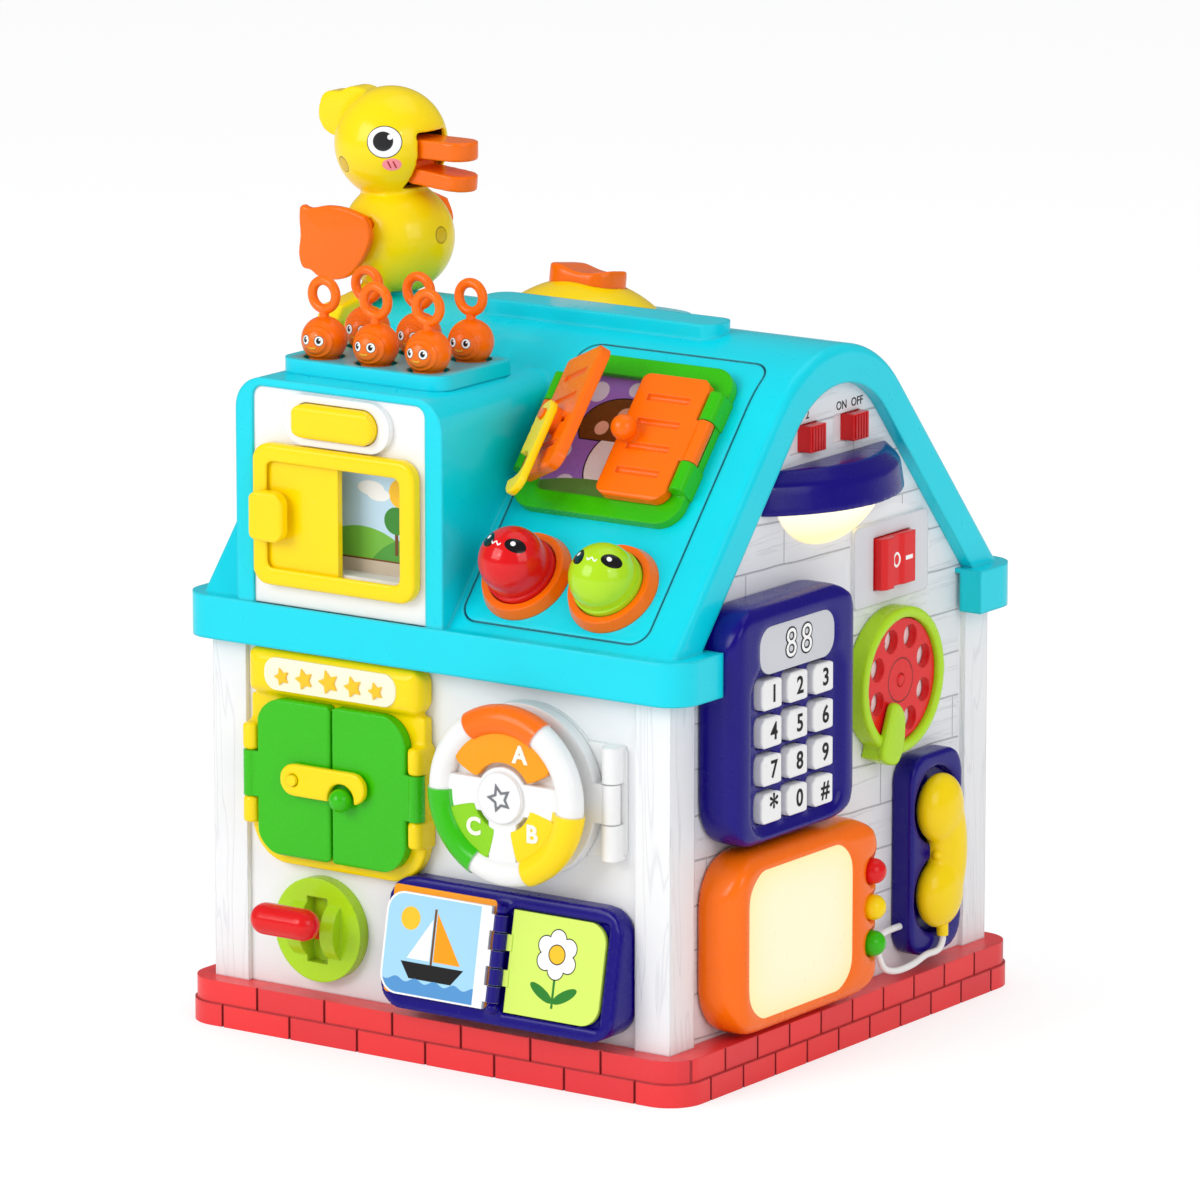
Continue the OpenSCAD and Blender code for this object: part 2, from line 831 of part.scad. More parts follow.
// stay from the duck's belly down to the front slope, with two windows
module duck_stay() {
    difference() {
        along_x(duck_x - 8, duck_x + 4) difference() {
            polygon([[-8, duck_z - 16], [-24, duck_z - 21], [-46, duck_z - 24], [-60, duck_z - 42],
                [-68, duck_z - 70], [-50, duck_z - 70], [-46, duck_z - 44], [-34, duck_z - 28],
                [-8, duck_z - 23]]);
            polygon([[-44, duck_z - 28], [-55, duck_z - 43], [-48, duck_z - 43]]);
            polygon([[-57, duck_z - 48], [-60, duck_z - 58], [-51, duck_z - 48]]);
        }
        along_x(-rim_x, rim_x) gable2d(0, roof_z - 1);
    }
}

module duck_beak_upper() color(orange) {
    x0 = jaw_x - 6;
    translate([x0, 0, jaw_z + 3.6]) linear_extrude(beak_t) bill2d(duck_head_x + duck_head_r + beak_l - x0);
}

// round-ended bill of length l from the origin along x
module bill2d(l) {
    r = beak_w / 2 - 1;
    translate([0, -r]) square([l - r, 2 * r]);
    translate([l - r, 0]) circle(r);
}

module duck_beak_lower() color(orange) {
    translate([jaw_x, 0, jaw_z]) {
        rod(pin_r, beak_w + 6);
        rod(3, beak_w - 5);
        rotate([0, jaw_open, 0]) translate([1, 0, -7.4])
            linear_extrude(7) bill2d(duck_head_x + duck_head_r + beak_l - jaw_x - 1);
    }
}

// one wing in X and Z about its axle, with three feather tips
module wing2d() {
    circle(9);
    translate([-13, -8]) circle(16);
    translate([-24, -14]) circle(7);
    translate([-14, -19]) circle(7);
    translate([-4, -15]) circle(7);
}

module duck_wings() color(orange) {
    translate([duck_x, 0, wing_z]) {
        rod(axle_r, 2 * wing_y + 1);
        for (s = [-1, 1])
            translate([0, s * (wing_y + wing_t / 2) + wing_t / 2, 0]) rotate([90, 0, 0])
                linear_extrude(wing_t) wing2d();
    }
}

// Ridge

module on_knob() {
    translate([knob_x, knob_y, knob_z]) rotate([-knob_tilt, 0, 0]) children();
}

module ridge_dome() color(yellow) {
    on_knob() difference() {
        intersection() {
            cylinder(h = 14, r = knob_base);
            translate([0, 0, 1 - sqrt(dome_r * dome_r - knob_base * knob_base)]) sphere(dome_r);
        }
        translate([0, 0, 4]) linear_extrude(20) rrect(knob_l + 2 * move_gap, knob_b + 2 * move_gap, 11);
    }
}

module ridge_button() color(orange) {
    on_knob() difference() {
        translate([0, 0, 4 + press]) pillow(knob_l, knob_b, 11.2, 11 - move_gap, 3);
        translate([5, 0, 46.5]) rod(32, 60);
    }
}

// Roof window and dome buttons

module on_window_roof() {
    on_slope(win_x, win_s) children();
}

module hinge_lugs(x, z, spans) {
    for (p = spans)
        translate([x, (p[0] + p[1]) / 2, 0]) {
            translate([0, 0, z]) rod(knuckle_r, p[1] - p[0]);
            translate([-knuckle_r, -(p[1] - p[0]) / 2, 0]) cube([2 * knuckle_r, p[1] - p[0], z]);
        }
}

shut_mid = 10;
shut_end = 24;

module shutter_frame() color(green) {
    on_window_roof() {
        difference() {
            linear_extrude(win_t) rrect(shutter_frame_w, shutter_frame_h, 11);
            translate([0, 0, 1]) linear_extrude(win_t) rrect(shutter_frame_w - 18, shutter_frame_h - 18, 6);
            for (s = [-1, 1])
                translate([s * shut_axis, 0, shut_z]) rod(knuckle_r + 0.1, 2 * shut_mid + 0.8);
        }
        for (s = [-1, 1]) {
            hinge_lugs(s * shut_axis, shut_z, [[-shut_end, -shut_mid - 0.4], [shut_mid + 0.4, shut_end]]);
            translate([s * shut_axis, 0, shut_z]) rod(pin_r, 2 * shut_end);
        }
    }
}

// leaf that reaches from its hinge at the origin along x, with its outside up
module shutter_leaf() {
    difference() {
        union() {
            translate([shut_axis - 0.5 - shut_w / 2, 0, -shut_t / 2]) pillow(shut_w, shut_h, shut_t, 6, 1.5);
            rod(knuckle_r - 0.2, 2 * shut_mid);
            translate([0, -shut_mid, -shut_t / 2]) cube([8, 2 * shut_mid, shut_t]);
        }
        rod(bore_r, 3 * shut_mid);
        for (k = [-1.5 : 1.5])
            translate([shut_axis - 0.5 - shut_w / 2, k * 12, shut_t / 2]) rotate([0, 90, 0])
                cylinder(h = shut_w - 14, r = 1.6, center = true);
    }
}

module on_shutter_left() {
    on_window_roof() translate([-shut_axis, 0, shut_z]) rotate([0, -shutter_open, 0]) children();
}

module shutter_left() color(orange) {
    on_shutter_left() {
        shutter_leaf();
        translate([shut_latch_x, shut_latch_s, shut_t / 2 - 0.5]) cylinder(h = 3.5, r = 6);
        translate([shut_latch_x, shut_latch_s, shut_t / 2]) cylinder(h = 3 + latch_t + 1, r = 2.5);
    }
}

module shutter_right() color(orange) {
    on_window_roof() translate([shut_axis, 0, shut_z]) {
        rotate([0, 0, 180]) shutter_leaf();
        translate([-shut_axis + 7, -1, shut_t / 2 - 0.5]) {
            cylinder(h = 4, r = 4);
            translate([0, 0, 6.5]) sphere(5.6);
        }
    }
}

// bar latch that reaches along x from its pivot, hooked over a catch of radius r at p
module latch2d(l, h, p, r) {
    difference() {
        union() {
            circle(h / 2);
            translate([0, -h / 2]) square([l, h]);
            translate([l, 0]) circle(h / 2);
        }
        translate(p) circle(r);
        translate([p[0] - r, p[1] - h]) square([2 * r, h]);
    }
}

module shutter_latch() color(yellow) {
    on_shutter_left() translate([shut_latch_x, shut_latch_s, shut_t / 2 + 3]) rotate(-90)
        difference() {
            linear_extrude(latch_t) latch2d(32, 14, [24.5, -2.5], 6.4);
            translate([0, 0, -1]) cylinder(h = latch_t + 2, r = 2.5 + pin_gap);
        }
}

module ball_rings() color(orange) {
    for (x = ball_x)
        on_slope(x, ball_s) difference() {
            cylinder(h = ring_h, r1 = ball_r + ball_ring + 2, r2 = ball_r + ball_ring);
            translate([0, 0, 1]) cylinder(h = ring_h, r = ball_r + 1 + move_gap);
        }
}

module dome_button(i) {
    on_slope(ball_x[i], ball_s) translate([0, 0, 1 + press]) {
        cylinder(h = ring_h - 1, r = ball_r + 1);
        cylinder(h = ball_rise[i], r = ball_r);
        intersection() {
            translate([0, 0, ball_rise[i]]) sphere(ball_r);
            cylinder(h = 3 * ball_r, r = ball_r + 1);
        }
    }
}

module ball_red() color(red) dome_button(0);

module ball_lime() color(lime) dome_button(1);

// Window

module window_frame() color(yellow) {
    on_front(window_x, window_z) {
        difference() {
            linear_extrude(window_t) {
                rrect(window_w, window_h, 19);
                translate([-window_w / 2, 0]) square([window_w, window_h / 2]);
            }
            translate([0, door_dz, -1]) linear_extrude(window_t + 2) rrect(window_w - 22, window_h - 20, 10);
            for (s = [-1, 1])
                translate([s * window_hinge, door_dz, door_z]) rod(knuckle_r + 0.1, 20.8);
        }
        translate([0, window_h / 2 + header_h / 2 - 0.01, 0]) pillow(window_w, header_h, header_d, 8, 7);
        for (s = [-1, 1]) {
            hinge_lugs(s * window_hinge, door_z, [[door_dz - 22, door_dz - 10.4], [door_dz + 10.4, door_dz + 22]]);
            translate([s * window_hinge, door_dz, door_z]) rod(pin_r, 40);
        }
    }
}

// plate of a door leaf, with its two outer corners more rounded
module door_plate() {
    intersection() {
        pillow(door_w, door_h, door_t, 3, 1.5);
        linear_extrude(door_t) {
            rrect(door_w, door_h, 14);
            translate([0, -door_h / 2]) square([door_w / 2, door_h]);
        }
    }
}

// door leaf that reaches from its hinge at the origin along x, with its outside up
module door_leaf() {
    difference() {
        union() {
            translate([window_hinge - 0.5 - door_w / 2, 0, -door_t / 2]) door_plate();
            rod(knuckle_r - 0.2, 20);
            translate([0, -10, -door_t / 2]) cube([8, 20, door_t]);
        }
        rod(bore_r, 30);
    }
}

module window_door_left() color(green) {
    on_front(window_x, window_z + door_dz) translate([-window_hinge, 0, door_z]) {
        door_leaf();
        translate([window_hinge + latch_x, latch_dz, door_t / 2 - 0.5]) cylinder(h = 1.5, r = 6);
        translate([window_hinge + latch_x, latch_dz, door_t / 2]) cylinder(h = 1 + latch_t + 1, r = 2.5);
    }
}

module window_door_right() color(green) {
    on_front(window_x, window_z + door_dz) translate([window_hinge, 0, door_z]) {
        rotate(180) door_leaf();
        translate([-window_hinge + catch_x, catch_z, door_t / 2 - 0.5]) {
            cylinder(h = 5, r = catch_r - 2);
            translate([0, 0, 4.5]) sphere(catch_r);
        }
    }
}

module window_latch() color(yellow) {
    p = [catch_x - latch_x, catch_z - latch_dz];
    on_front(window_x, window_z + door_dz) translate([latch_x, latch_dz, door_z + door_t / 2 + 1])
        difference() {
            linear_extrude(latch_t) latch2d(latch_l, latch_h, p, catch_r + catch_gap);
            translate([0, 0, -1]) cylinder(h = latch_t + 2, r = 2.5 + pin_gap);
        }
}

// Steering wheel

module steering_mount() color(white) {
    span = (wheel_block - wheel_knuckle) / 2 - move_gap;
    on_front(0, wheel_z) {
        difference() {
            union() {
                translate([wheel_x, 0, 0]) cylinder(h = 2, r = wheel_door_r);
                translate([wheel_x, -wheel_block / 2, 0]) cube([wheel_axis - wheel_x, wheel_block, 2]);
                translate([wheel_axis - 5, 0, 0]) linear_extrude(2) rrect(20, wheel_block, 4);
            }
            translate([wheel_axis, 0, wheel_hinge_z]) rod(4.3, wheel_knuckle + 2 * move_gap);
        }
        for (s = [-1, 1])
            translate([wheel_axis, s * (wheel_block - span) / 2, 0]) {
                translate([-4, -span / 2, 0]) cube([8, span, wheel_hinge_z]);
                translate([0, 0, wheel_hinge_z]) rod(4, span);
            }
        translate([wheel_axis, 0, wheel_hinge_z]) rod(pin_r, wheel_block - 6);
    }
}

module steering_door() color(white) {
    on_front(0, wheel_z) difference() {
        union() {
            translate([wheel_x, 0, wheel_door_z]) cylinder(h = wheel_door_t, r = wheel_door_r);
            translate([wheel_x, 0, wheel_door_z]) cylinder(h = wheel_zc - 8 - wheel_door_z, r = hub_r - 2);
            translate([wheel_x, 0, wheel_door_z]) cylinder(h = wheel_zc - wheel_door_z, r = 4);
            translate([wheel_x, -wheel_knuckle / 2, wheel_door_z]) cube([wheel_axis - wheel_x, wheel_knuckle, wheel_door_t]);
            translate([wheel_axis, 0, wheel_hinge_z]) rod(4, wheel_knuckle);
        }
        translate([wheel_axis, 0, wheel_hinge_z]) rod(bore_r, 2 * wheel_knuckle);
    }
}

// three-spoked web of the wheel
module spokes2d() {
    circle(hub_r + 2);
    for (k = [0, 180, 270])
        rotate(k) translate([0, -7]) square([wheel_r, 14]);
}

module steering_wheel() color(white) {
    on_front(wheel_x, wheel_z) translate([0, 0, wheel_zc]) {
        rotate_extrude() translate([wheel_r, 0]) circle(wheel_bar);
        for (k = [90, 212, 322])
            rotate([0, 0, k - 32]) rotate_extrude(angle = 64) translate([wheel_r, 0]) circle(wheel_bar + 0.7);
        difference() {
            union() {
                translate([0, 0, -4]) cylinder(h = 3, r = wheel_r);
                translate([0, 0, -2]) linear_extrude(5) spokes2d();
                translate([0, 0, -7.6]) cylinder(h = 12.6, r = hub_r);
            }
            translate([0, 0, -12]) cylinder(h = 12.4, r = 4 + pin_gap);
        }
    }
}

// Lever

module lever_housing() color(lime) {
    cheek = lever_slot / 2 + move_gap;
    on_front(lever_x, lever_z) difference() {
        union() {
            cylinder(h = lever_t, r = lever_r);
            intersection() {
                translate([0, 0, lever_axis - 8]) rotate([0, 90, 0])
                    cylinder(h = lever_hump, r = lever_hump_r, center = true);
                translate([0, 0, 1]) cylinder(h = 40, r = lever_r);
            }
        }
        translate([-cheek, -lever_hump_r, 1]) cube([2 * cheek, 2 * lever_hump_r, 40]);
        translate([0, 0, lever_axis]) rotate([0, 90, 0])
            cylinder(h = lever_slot + 9.4, r = 2.5 + pin_gap, center = true);
    }
}

module lever_handle() color(red) {
    on_front(lever_x, lever_z) translate([0, 0, lever_axis]) {
        rotate([0, 90, 0]) cylinder(h = lever_slot, r = lever_hub, center = true);
        rotate([0, 90, 0]) cylinder(h = lever_slot + 9, r = 2.5, center = true);
        rotate([-lever_rest, 0, 0]) {
            cylinder(h = lever_reach, r = 4);
            translate([0, 0, lever_reach]) rotate([0, 90, 0]) {
                cylinder(h = lever_bar - 14, r = 7, center = true);
                for (s = [-1, 1])
                    translate([0, 0, s * (lever_bar / 2 - 7)]) sphere(7);
            }
        }
    }
}

// Book

module book_frame() color(indigo) {
    half = book_h / 2;
    difference() {
        intersection() {
            on_front(book_x, book_z) linear_extrude(3 * book_mid) rrect(book_w, book_h, 12);
            on_front(book_x, book_z) translate([-book_w, 0, 0]) rotate([90, 0, 90]) linear_extrude(2 * book_w)
                polygon([[-half - 1, -1], [half + 1, -1], [half + 1, book_mid - (half + 1) * tan(book_lean)],
                    [-half - 1, book_mid + (half + 1) * tan(book_lean)]]);
        }
        on_book() translate([-0.6, -page_h / 2 - 0.6, -right_drop])
            cube([page_w + 1.4, page_h + 1.2, 20]);
        on_book() translate([0, 0, spine_z]) rod(spine_r + move_gap, 5 * spine_step + 1);
        on_front(window_x, window_z) translate([0, 0, -1]) linear_extrude(window_t + 1.3)
            rrect(window_w + 0.6, window_h + 0.6, 19.3);
    }
    on_book() {
        for (s = [-1, 1])
            translate([0, s * (2.5 * spine_step + 2.4), 0]) {
                translate([0, 0, spine_z]) rod(spine_r, 3.6);
                translate([-spine_r, -1.8, -right_drop - 1]) cube([2 * spine_r, 3.6, spine_z + right_drop + 1]);
            }
        translate([0, 0, spine_z]) rod(pin_r - 0.3, 5 * spine_step + 6);
    }
}

// outline of a page of width w, with its two outer corners rounded
module page2d(w) {
    l = w - spine_r - 2;
    translate([spine_r + 2 + l / 2, 0]) {
        rrect(l, page_h, 9);
        translate([-l / 2, -page_h / 2]) square([l / 2, page_h]);
    }
}

// leaf of width w to the right of the spine; drop sets it below the pin, knuckles lists its places
module page_leaf(w, drop, knuckles) {
    difference() {
        union() {
            translate([0, 0, -drop - page_t / 2]) linear_extrude(page_t) page2d(w);
            for (k = knuckles)
                translate([0, k * spine_step, 0]) {
                    rod(spine_r, spine_step - 0.6);
                    translate([0, -spine_step / 2 + 0.3, -drop - page_t / 2])
                        cube([spine_r + 3, spine_step - 0.6, drop > 0 ? drop : page_t]);
                }
        }
        rod(pin_r - 0.3 + pin_gap, 7 * spine_step);
    }
}

module page_left() color(blue) {
    on_book() translate([0, 0, spine_z]) mirror([1, 0, 0]) page_leaf(left_page_w, 0, [-2, 0, 2]);
}

module page_right() color(lime) {
    on_book() translate([0, 0, spine_z]) page_leaf(page_w, right_drop, [-1, 1]);
}

// Gable units

module gable_half() {
    translate([gable_x, -200, 0]) cube([200, 400, 400]);
}

module lamp_shade() color(indigo) {
    top_r = shade_r - 12;
    intersection() {
        translate([shade_axis, 0, shade_z]) difference() {
            rotate_extrude() polygon([[20, 0], [shade_r, 0], [shade_r - 2, shade_h - 6], [top_r + 4, shade_h],
                [20, shade_h]]);
            translate([0, 0, -1]) cylinder(h = shade_h - 4, r1 = shade_r - 4, r2 = top_r);
        }
        gable_half();
    }
}

module lamp_lens() color(cream) {
    intersection() {
        translate([shade_axis, 0, shade_z]) rotate_extrude() difference() {
            intersection() {
                translate(lens_c) circle(lens_r);
                translate([lens_c[0], -lens_r]) square([2 * lens_r, lens_r + 4]);
            }
            translate(lens_c) circle(lens_r - lens_t);
        }
        gable_half();
    }
}

module slide_switch(i) color(red) {
    on_gable(switch_y[i], switch_z) translate([0, 0, -switch_pocket]) {
        translate([-switch_w / 2, -switch_h / 2, 0]) cube([switch_w, switch_h, switch_t]);
    }
}

module slide_switch_1() slide_switch(0);
module slide_switch_2() slide_switch(1);

module light_rocker() color(red) {
    w = rocker_w / 2;
    on_gable(rocker_y, rocker_z) {
        translate([0, rocker_h / 2, 0]) rotate([90, 0, 0]) linear_extrude(rocker_h)
            polygon([[-w, -2], [-w, 5.5], [-w + 3, 7], [-w + 8, 7], [-2, 4.5], [2, 4.5], [5, 5.5], [w, 5.5], [w, -2]]);
        translate([0, 0, rocker_axis]) rod(1.2, rocker_h + 6);
    }
}

module on_pad() {
    on_gable(pad_y, pad_z) children();
}

module keypad_housing() color(indigo) {
    on_pad() difference() {
        pillow(pad_w, pad_h, pad_d, 20, 7);
        translate([0, pad_recess_z, pad_d - pad_recess_d]) linear_extrude(10) rrect(pad_recess_w, pad_recess_h, 12);
        translate([0, pad_h / 2 - 20, pad_d - 1.5]) linear_extrude(10) rrect(58, 22, 9);
        for (r = [0 : 3], c = [-1 : 1])
            translate([c * key_px, key_row_y(r), pad_d - pad_recess_d - 6]) linear_extrude(20)
                rrect(key_w + 2 * move_gap, key_h + 2 * move_gap, 3.4);
    }
}

function key_row_y(r) = keys_z + (1.5 - r) * key_py;

module key_row(r) color(white) {
    on_pad() for (c = [-1 : 1])
        translate([c * key_px, key_row_y(r), pad_d - pad_recess_d - 6 + key_travel + 0.5])
            pillow(key_w, key_h, key_t, 3, 1.2);
}

module key_row_1() key_row(0);
module key_row_2() key_row(1);
module key_row_3() key_row(2);
module key_row_4() key_row(3);

module on_dial() {
    on_gable(dial_y, dial_z) children();
}

module dial_ring() color(lime) {
    out = dial_r + dial_ring_w + move_gap;
    top = dial_plate + dial_t + 2 * move_gap;
    on_dial() {
        difference() {
            cylinder(h = top + 2, r = out);
            translate([0, 0, dial_plate]) cylinder(h = 20, r = dial_r + move_gap);
        }
        cylinder(h = top, r = 3);
        rotate(stop_angle) {
            translate([dial_r - 3, -7, top]) cube([dial_ring_w + 6, 14, 3.5]);
            translate([dial_r + 2, -7, 0]) cube([dial_ring_w + 3, 14, top + 1]);
            translate([dial_r - 3, 0, top]) linear_extrude(3.5) polygon([[1, -7], [-12, -6], [-4, 0], [-9, 3], [1, 7]]);
        }
    }
}

module dial_disc() color(red) {
    on_dial() translate([0, 0, dial_plate + move_gap]) difference() {
        union() {
            cylinder(h = dial_t, r = dial_r);
        }
        translate([0, 0, -1]) cylinder(h = 10, r = 3 + pin_gap);
        for (k = [0 : dial_holes - 1])
            rotate((k + 0.5) * 360 / dial_holes) translate([dial_r - dial_hole - 2.2, 0, -1])
                cylinder(h = 10, r = dial_hole);
    }
}

module on_tv() {
    on_gable(tv_y, tv_z) children();
}

module tv_housing() color(orange) {
    on_tv() difference() {
        pillow(tv_w, tv_h, tv_d, 22, 10);
        translate([tv_screen_x, 0, tv_d - 2]) linear_extrude(10) rrect(tv_screen_w, tv_screen_h, 14);
        for (k = [-1 : 1])
            translate([tv_button_x, tv_button_z + k * tv_button_p, tv_d - 12])
                cylinder(h = 20, r = tv_button_r + move_gap);
    }
}

module tv_button(k) {
    on_tv() translate([tv_button_x, tv_button_z + k * tv_button_p, tv_d - 12 + press + 0.4]) {
        cylinder(h = 8, r = tv_button_r);
        intersection() {
            translate([0, 0, 8]) sphere(tv_button_r);
            cylinder(h = 20, r = tv_button_r + 1);
        }
    }
}

module tv_button_red() color(red) tv_button(1);
module tv_button_yellow() color(yellow) tv_button(0);
module tv_button_green() color(green) tv_button(-1);

// Telephone

module handset2d(grow) {
    for (s = [-1, 1])
        translate([0, s * handset_l / 2]) circle(handset_r + grow);
    translate([handset_r - handset_bar - grow, -handset_l / 2])
        square([handset_bar + 2 * grow, handset_l]);
}

module handset_cradle() color(indigo) {
    on_gable(cradle_y, cradle_z) difference() {
        linear_extrude(cradle_d) rrect(cradle_w, cradle_h, 12);
        translate([0, handset_z - cradle_z, cradle_floor]) linear_extrude(20) handset2d(2);
    }
}

module handset() color(yellow) {
    on_gable(cradle_y, handset_z) {
        translate([0, 0, cradle_floor]) {
            intersection() {
                linear_extrude(handset_t) handset2d(0);
                translate([0, 200, 0]) rotate([90, 0, 0]) linear_extrude(400) dcap(2 * handset_r, handset_t, 6.5);
                translate([-200, 0, 0]) rotate([90, 0, 90]) linear_extrude(400)
                    dcap(handset_l + 2 * handset_r, handset_t, 6.5);
            }
        }
        translate([0, -handset_l / 2 - handset_r + 2, cord_out]) rotate([90, 0, 0])
            cylinder(h = stub_l + 2, r = stub_r);
    }
}

// point at t on the smooth curve from p[i] to p[i + 1]
function curve(p, i, t) =
    let (n = len(p) - 1, a = p[max(i - 1, 0)], b = p[i], c = p[i + 1], d = p[min(i + 2, n)])
    0.5 * (2 * b + (c - a) * t + (2 * a - 5 * b + 4 * c - d) * t * t + (3 * b - a - 3 * c + d) * t * t * t);

cord_points = concat(
    [for (i = [0 : len(cord_route) - 2], k = [0 : cord_steps - 1]) curve(cord_route, i, k / cord_steps)],
    [cord_route[len(cord_route) - 1]]
);

function unit(v) = v / norm(v);
function heading(p, i) = unit(p[min(i + 1, len(p) - 1)] - p[max(i - 1, 0)]);

// one tube of radius r along the points p
module tube(p, r, n) {
    m = len(p);
    rings = [for (i = [0 : m - 1])
        let (t = i == 0 ? [0, 0, -1] : i == m - 1 ? [0, 1, 0] : heading(p, i),
            s = unit(cross(t, [1, 0, 0])), q = cross(t, s))
        for (k = [0 : n - 1]) p[i] + r * (cos(k * 360 / n) * s + sin(k * 360 / n) * q)];
    sides = [for (i = [0 : m - 2], k = [0 : n - 1])
        let (a = i * n + k, b = i * n + (k + 1) % n)
        each [[a, a + n, b + n], [a, b + n, b]]];
    caps = concat([for (k = [1 : n - 2]) [0, k, k + 1]],
        [for (k = [1 : n - 2]) [(m - 1) * n, (m - 1) * n + k + 1, (m - 1) * n + k]]);
    polyhedron(rings, concat(sides, caps));
}

module handset_cord() color(white) {
    tube(cord_points, cord_r, cord_sides);
}

base_plinth();
battery_door();
sound_board();
wall_shell();
roof_shell();
dormer_front();
dormer_frame();
dormer_door();
dormer_button();
fish_tray();
fish_1();
fish_2();
fish_3();
fish_4();
fish_5();
fish_6();
duck_body();
duck_beak_upper();
duck_beak_lower();
duck_wings();
ridge_dome();
ridge_button();
shutter_frame();
shutter_left();
shutter_right();
shutter_latch();
ball_rings();
ball_red();
ball_lime();
window_frame();
window_door_left();
window_door_right();
window_latch();
steering_mount();
steering_door();
steering_wheel();
lever_housing();
lever_handle();
book_frame();
page_left();
page_right();
lamp_shade();
lamp_lens();
slide_switch_1();
slide_switch_2();
light_rocker();
keypad_housing();
key_row_1();
key_row_2();
key_row_3();
key_row_4();
dial_ring();
dial_disc();
tv_housing();
tv_button_red();
tv_button_yellow();
tv_button_green();
handset_cradle();
handset();
handset_cord();
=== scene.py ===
import json
import math

import bpy
from mathutils import Euler, Matrix, Vector
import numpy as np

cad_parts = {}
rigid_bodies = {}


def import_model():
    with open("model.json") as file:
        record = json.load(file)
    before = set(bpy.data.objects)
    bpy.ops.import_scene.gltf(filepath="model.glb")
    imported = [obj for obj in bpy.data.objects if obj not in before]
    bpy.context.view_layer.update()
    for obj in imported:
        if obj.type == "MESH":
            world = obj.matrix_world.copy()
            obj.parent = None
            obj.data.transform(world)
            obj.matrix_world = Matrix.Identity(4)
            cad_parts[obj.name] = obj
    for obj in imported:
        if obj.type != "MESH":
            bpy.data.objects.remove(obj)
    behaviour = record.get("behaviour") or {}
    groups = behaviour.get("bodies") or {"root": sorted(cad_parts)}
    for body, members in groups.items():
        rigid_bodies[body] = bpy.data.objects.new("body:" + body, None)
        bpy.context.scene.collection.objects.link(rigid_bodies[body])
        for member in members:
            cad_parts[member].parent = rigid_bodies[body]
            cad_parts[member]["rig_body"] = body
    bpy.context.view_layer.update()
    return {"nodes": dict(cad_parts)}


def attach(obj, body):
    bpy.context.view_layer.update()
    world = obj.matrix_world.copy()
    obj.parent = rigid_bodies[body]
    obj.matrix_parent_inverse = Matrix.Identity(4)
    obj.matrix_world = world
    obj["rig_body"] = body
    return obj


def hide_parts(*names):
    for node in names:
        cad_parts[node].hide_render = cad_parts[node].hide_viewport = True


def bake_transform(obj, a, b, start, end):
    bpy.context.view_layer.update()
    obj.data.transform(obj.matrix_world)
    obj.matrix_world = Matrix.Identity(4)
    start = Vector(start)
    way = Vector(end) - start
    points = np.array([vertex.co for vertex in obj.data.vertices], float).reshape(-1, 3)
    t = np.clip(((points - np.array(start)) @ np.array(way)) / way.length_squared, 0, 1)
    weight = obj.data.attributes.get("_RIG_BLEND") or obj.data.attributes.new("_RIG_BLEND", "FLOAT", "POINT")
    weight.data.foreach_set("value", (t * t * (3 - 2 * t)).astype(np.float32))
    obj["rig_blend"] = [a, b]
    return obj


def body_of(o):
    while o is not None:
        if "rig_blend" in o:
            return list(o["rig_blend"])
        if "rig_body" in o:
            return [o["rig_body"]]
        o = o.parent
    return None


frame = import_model()
mm = 0.001
print("frame loaded:", len(frame["nodes"]), "nodes")

# planes that pieces and prints lie on: origin in mm, turn in degrees
bookMid = 8.5 + 28 * math.tan(math.radians(11))
planes = {
    "world": ((0, 0, 0), (0, 0, 0)),
    "front": ((0, -120.5, 0), (90, 0, 0)),
    "gable": ((117.5, 0, 0), (90, 0, 90)),
    "slope": ((0, -126.5, 191), (49.5, 0, 0)),
    "book": ((40.3, -120.5 - bookMid, 53), (79, 0, 0)),
    "dormer": ((-46.5, -129, 231), (90, 0, 0)),
    "wheel": ((48, -140, 126), (90, 0, 0)),
    "dial": ((117.5, 45.5, 152), (90, 0, 90)),
    "pad": ((117.5, -53, 156), (90, 0, 90)),
    "tv": ((117.5, -44, 62), (90, 0, 90)),
    "rocker": ((117.5, 46, 204.5), (90, 0, 90)),
    "handset": ((122.5, 70.5, 72), (90, 0, 90)),
    "wing": ((-110, -27.5, 337.6), (90, 0, 0)),
}


# camera, fitted to the photograph
view = {"azimuth": 34.966, "elevation": 12.118, "distance": 3740.86, "right": -1.485, "up": 175.88, "lens": 255.05}


def makeCamera():
    a, e = math.radians(view["azimuth"]), math.radians(view["elevation"])
    back = Vector((math.sin(a) * math.cos(e), -math.cos(a) * math.cos(e), math.sin(e)))
    right = Vector((math.cos(a), math.sin(a), 0))
    up = back.cross(right)
    bpy.ops.object.camera_add()
    camera = bpy.context.object
    camera.data.lens = view["lens"]
    camera.data.sensor_width = 36
    camera.data.clip_end = 50
    camera.matrix_world = Matrix((right, up, back)).transposed().to_4x4()
    camera.location = (back * view["distance"] + right * view["right"] + up * view["up"]) * mm
    bpy.context.scene.camera = camera


# shader writing

def rgb(r, g, b):
    return tuple((c / 255 + 0.055) ** 2.4 / 1.055 ** 2.4 if c > 10 else c / 255 / 12.92 for c in (r, g, b)) + (1,)


def shade(tint, k):
    return tuple(min(c * k, 1) for c in tint[:3]) + (1,)


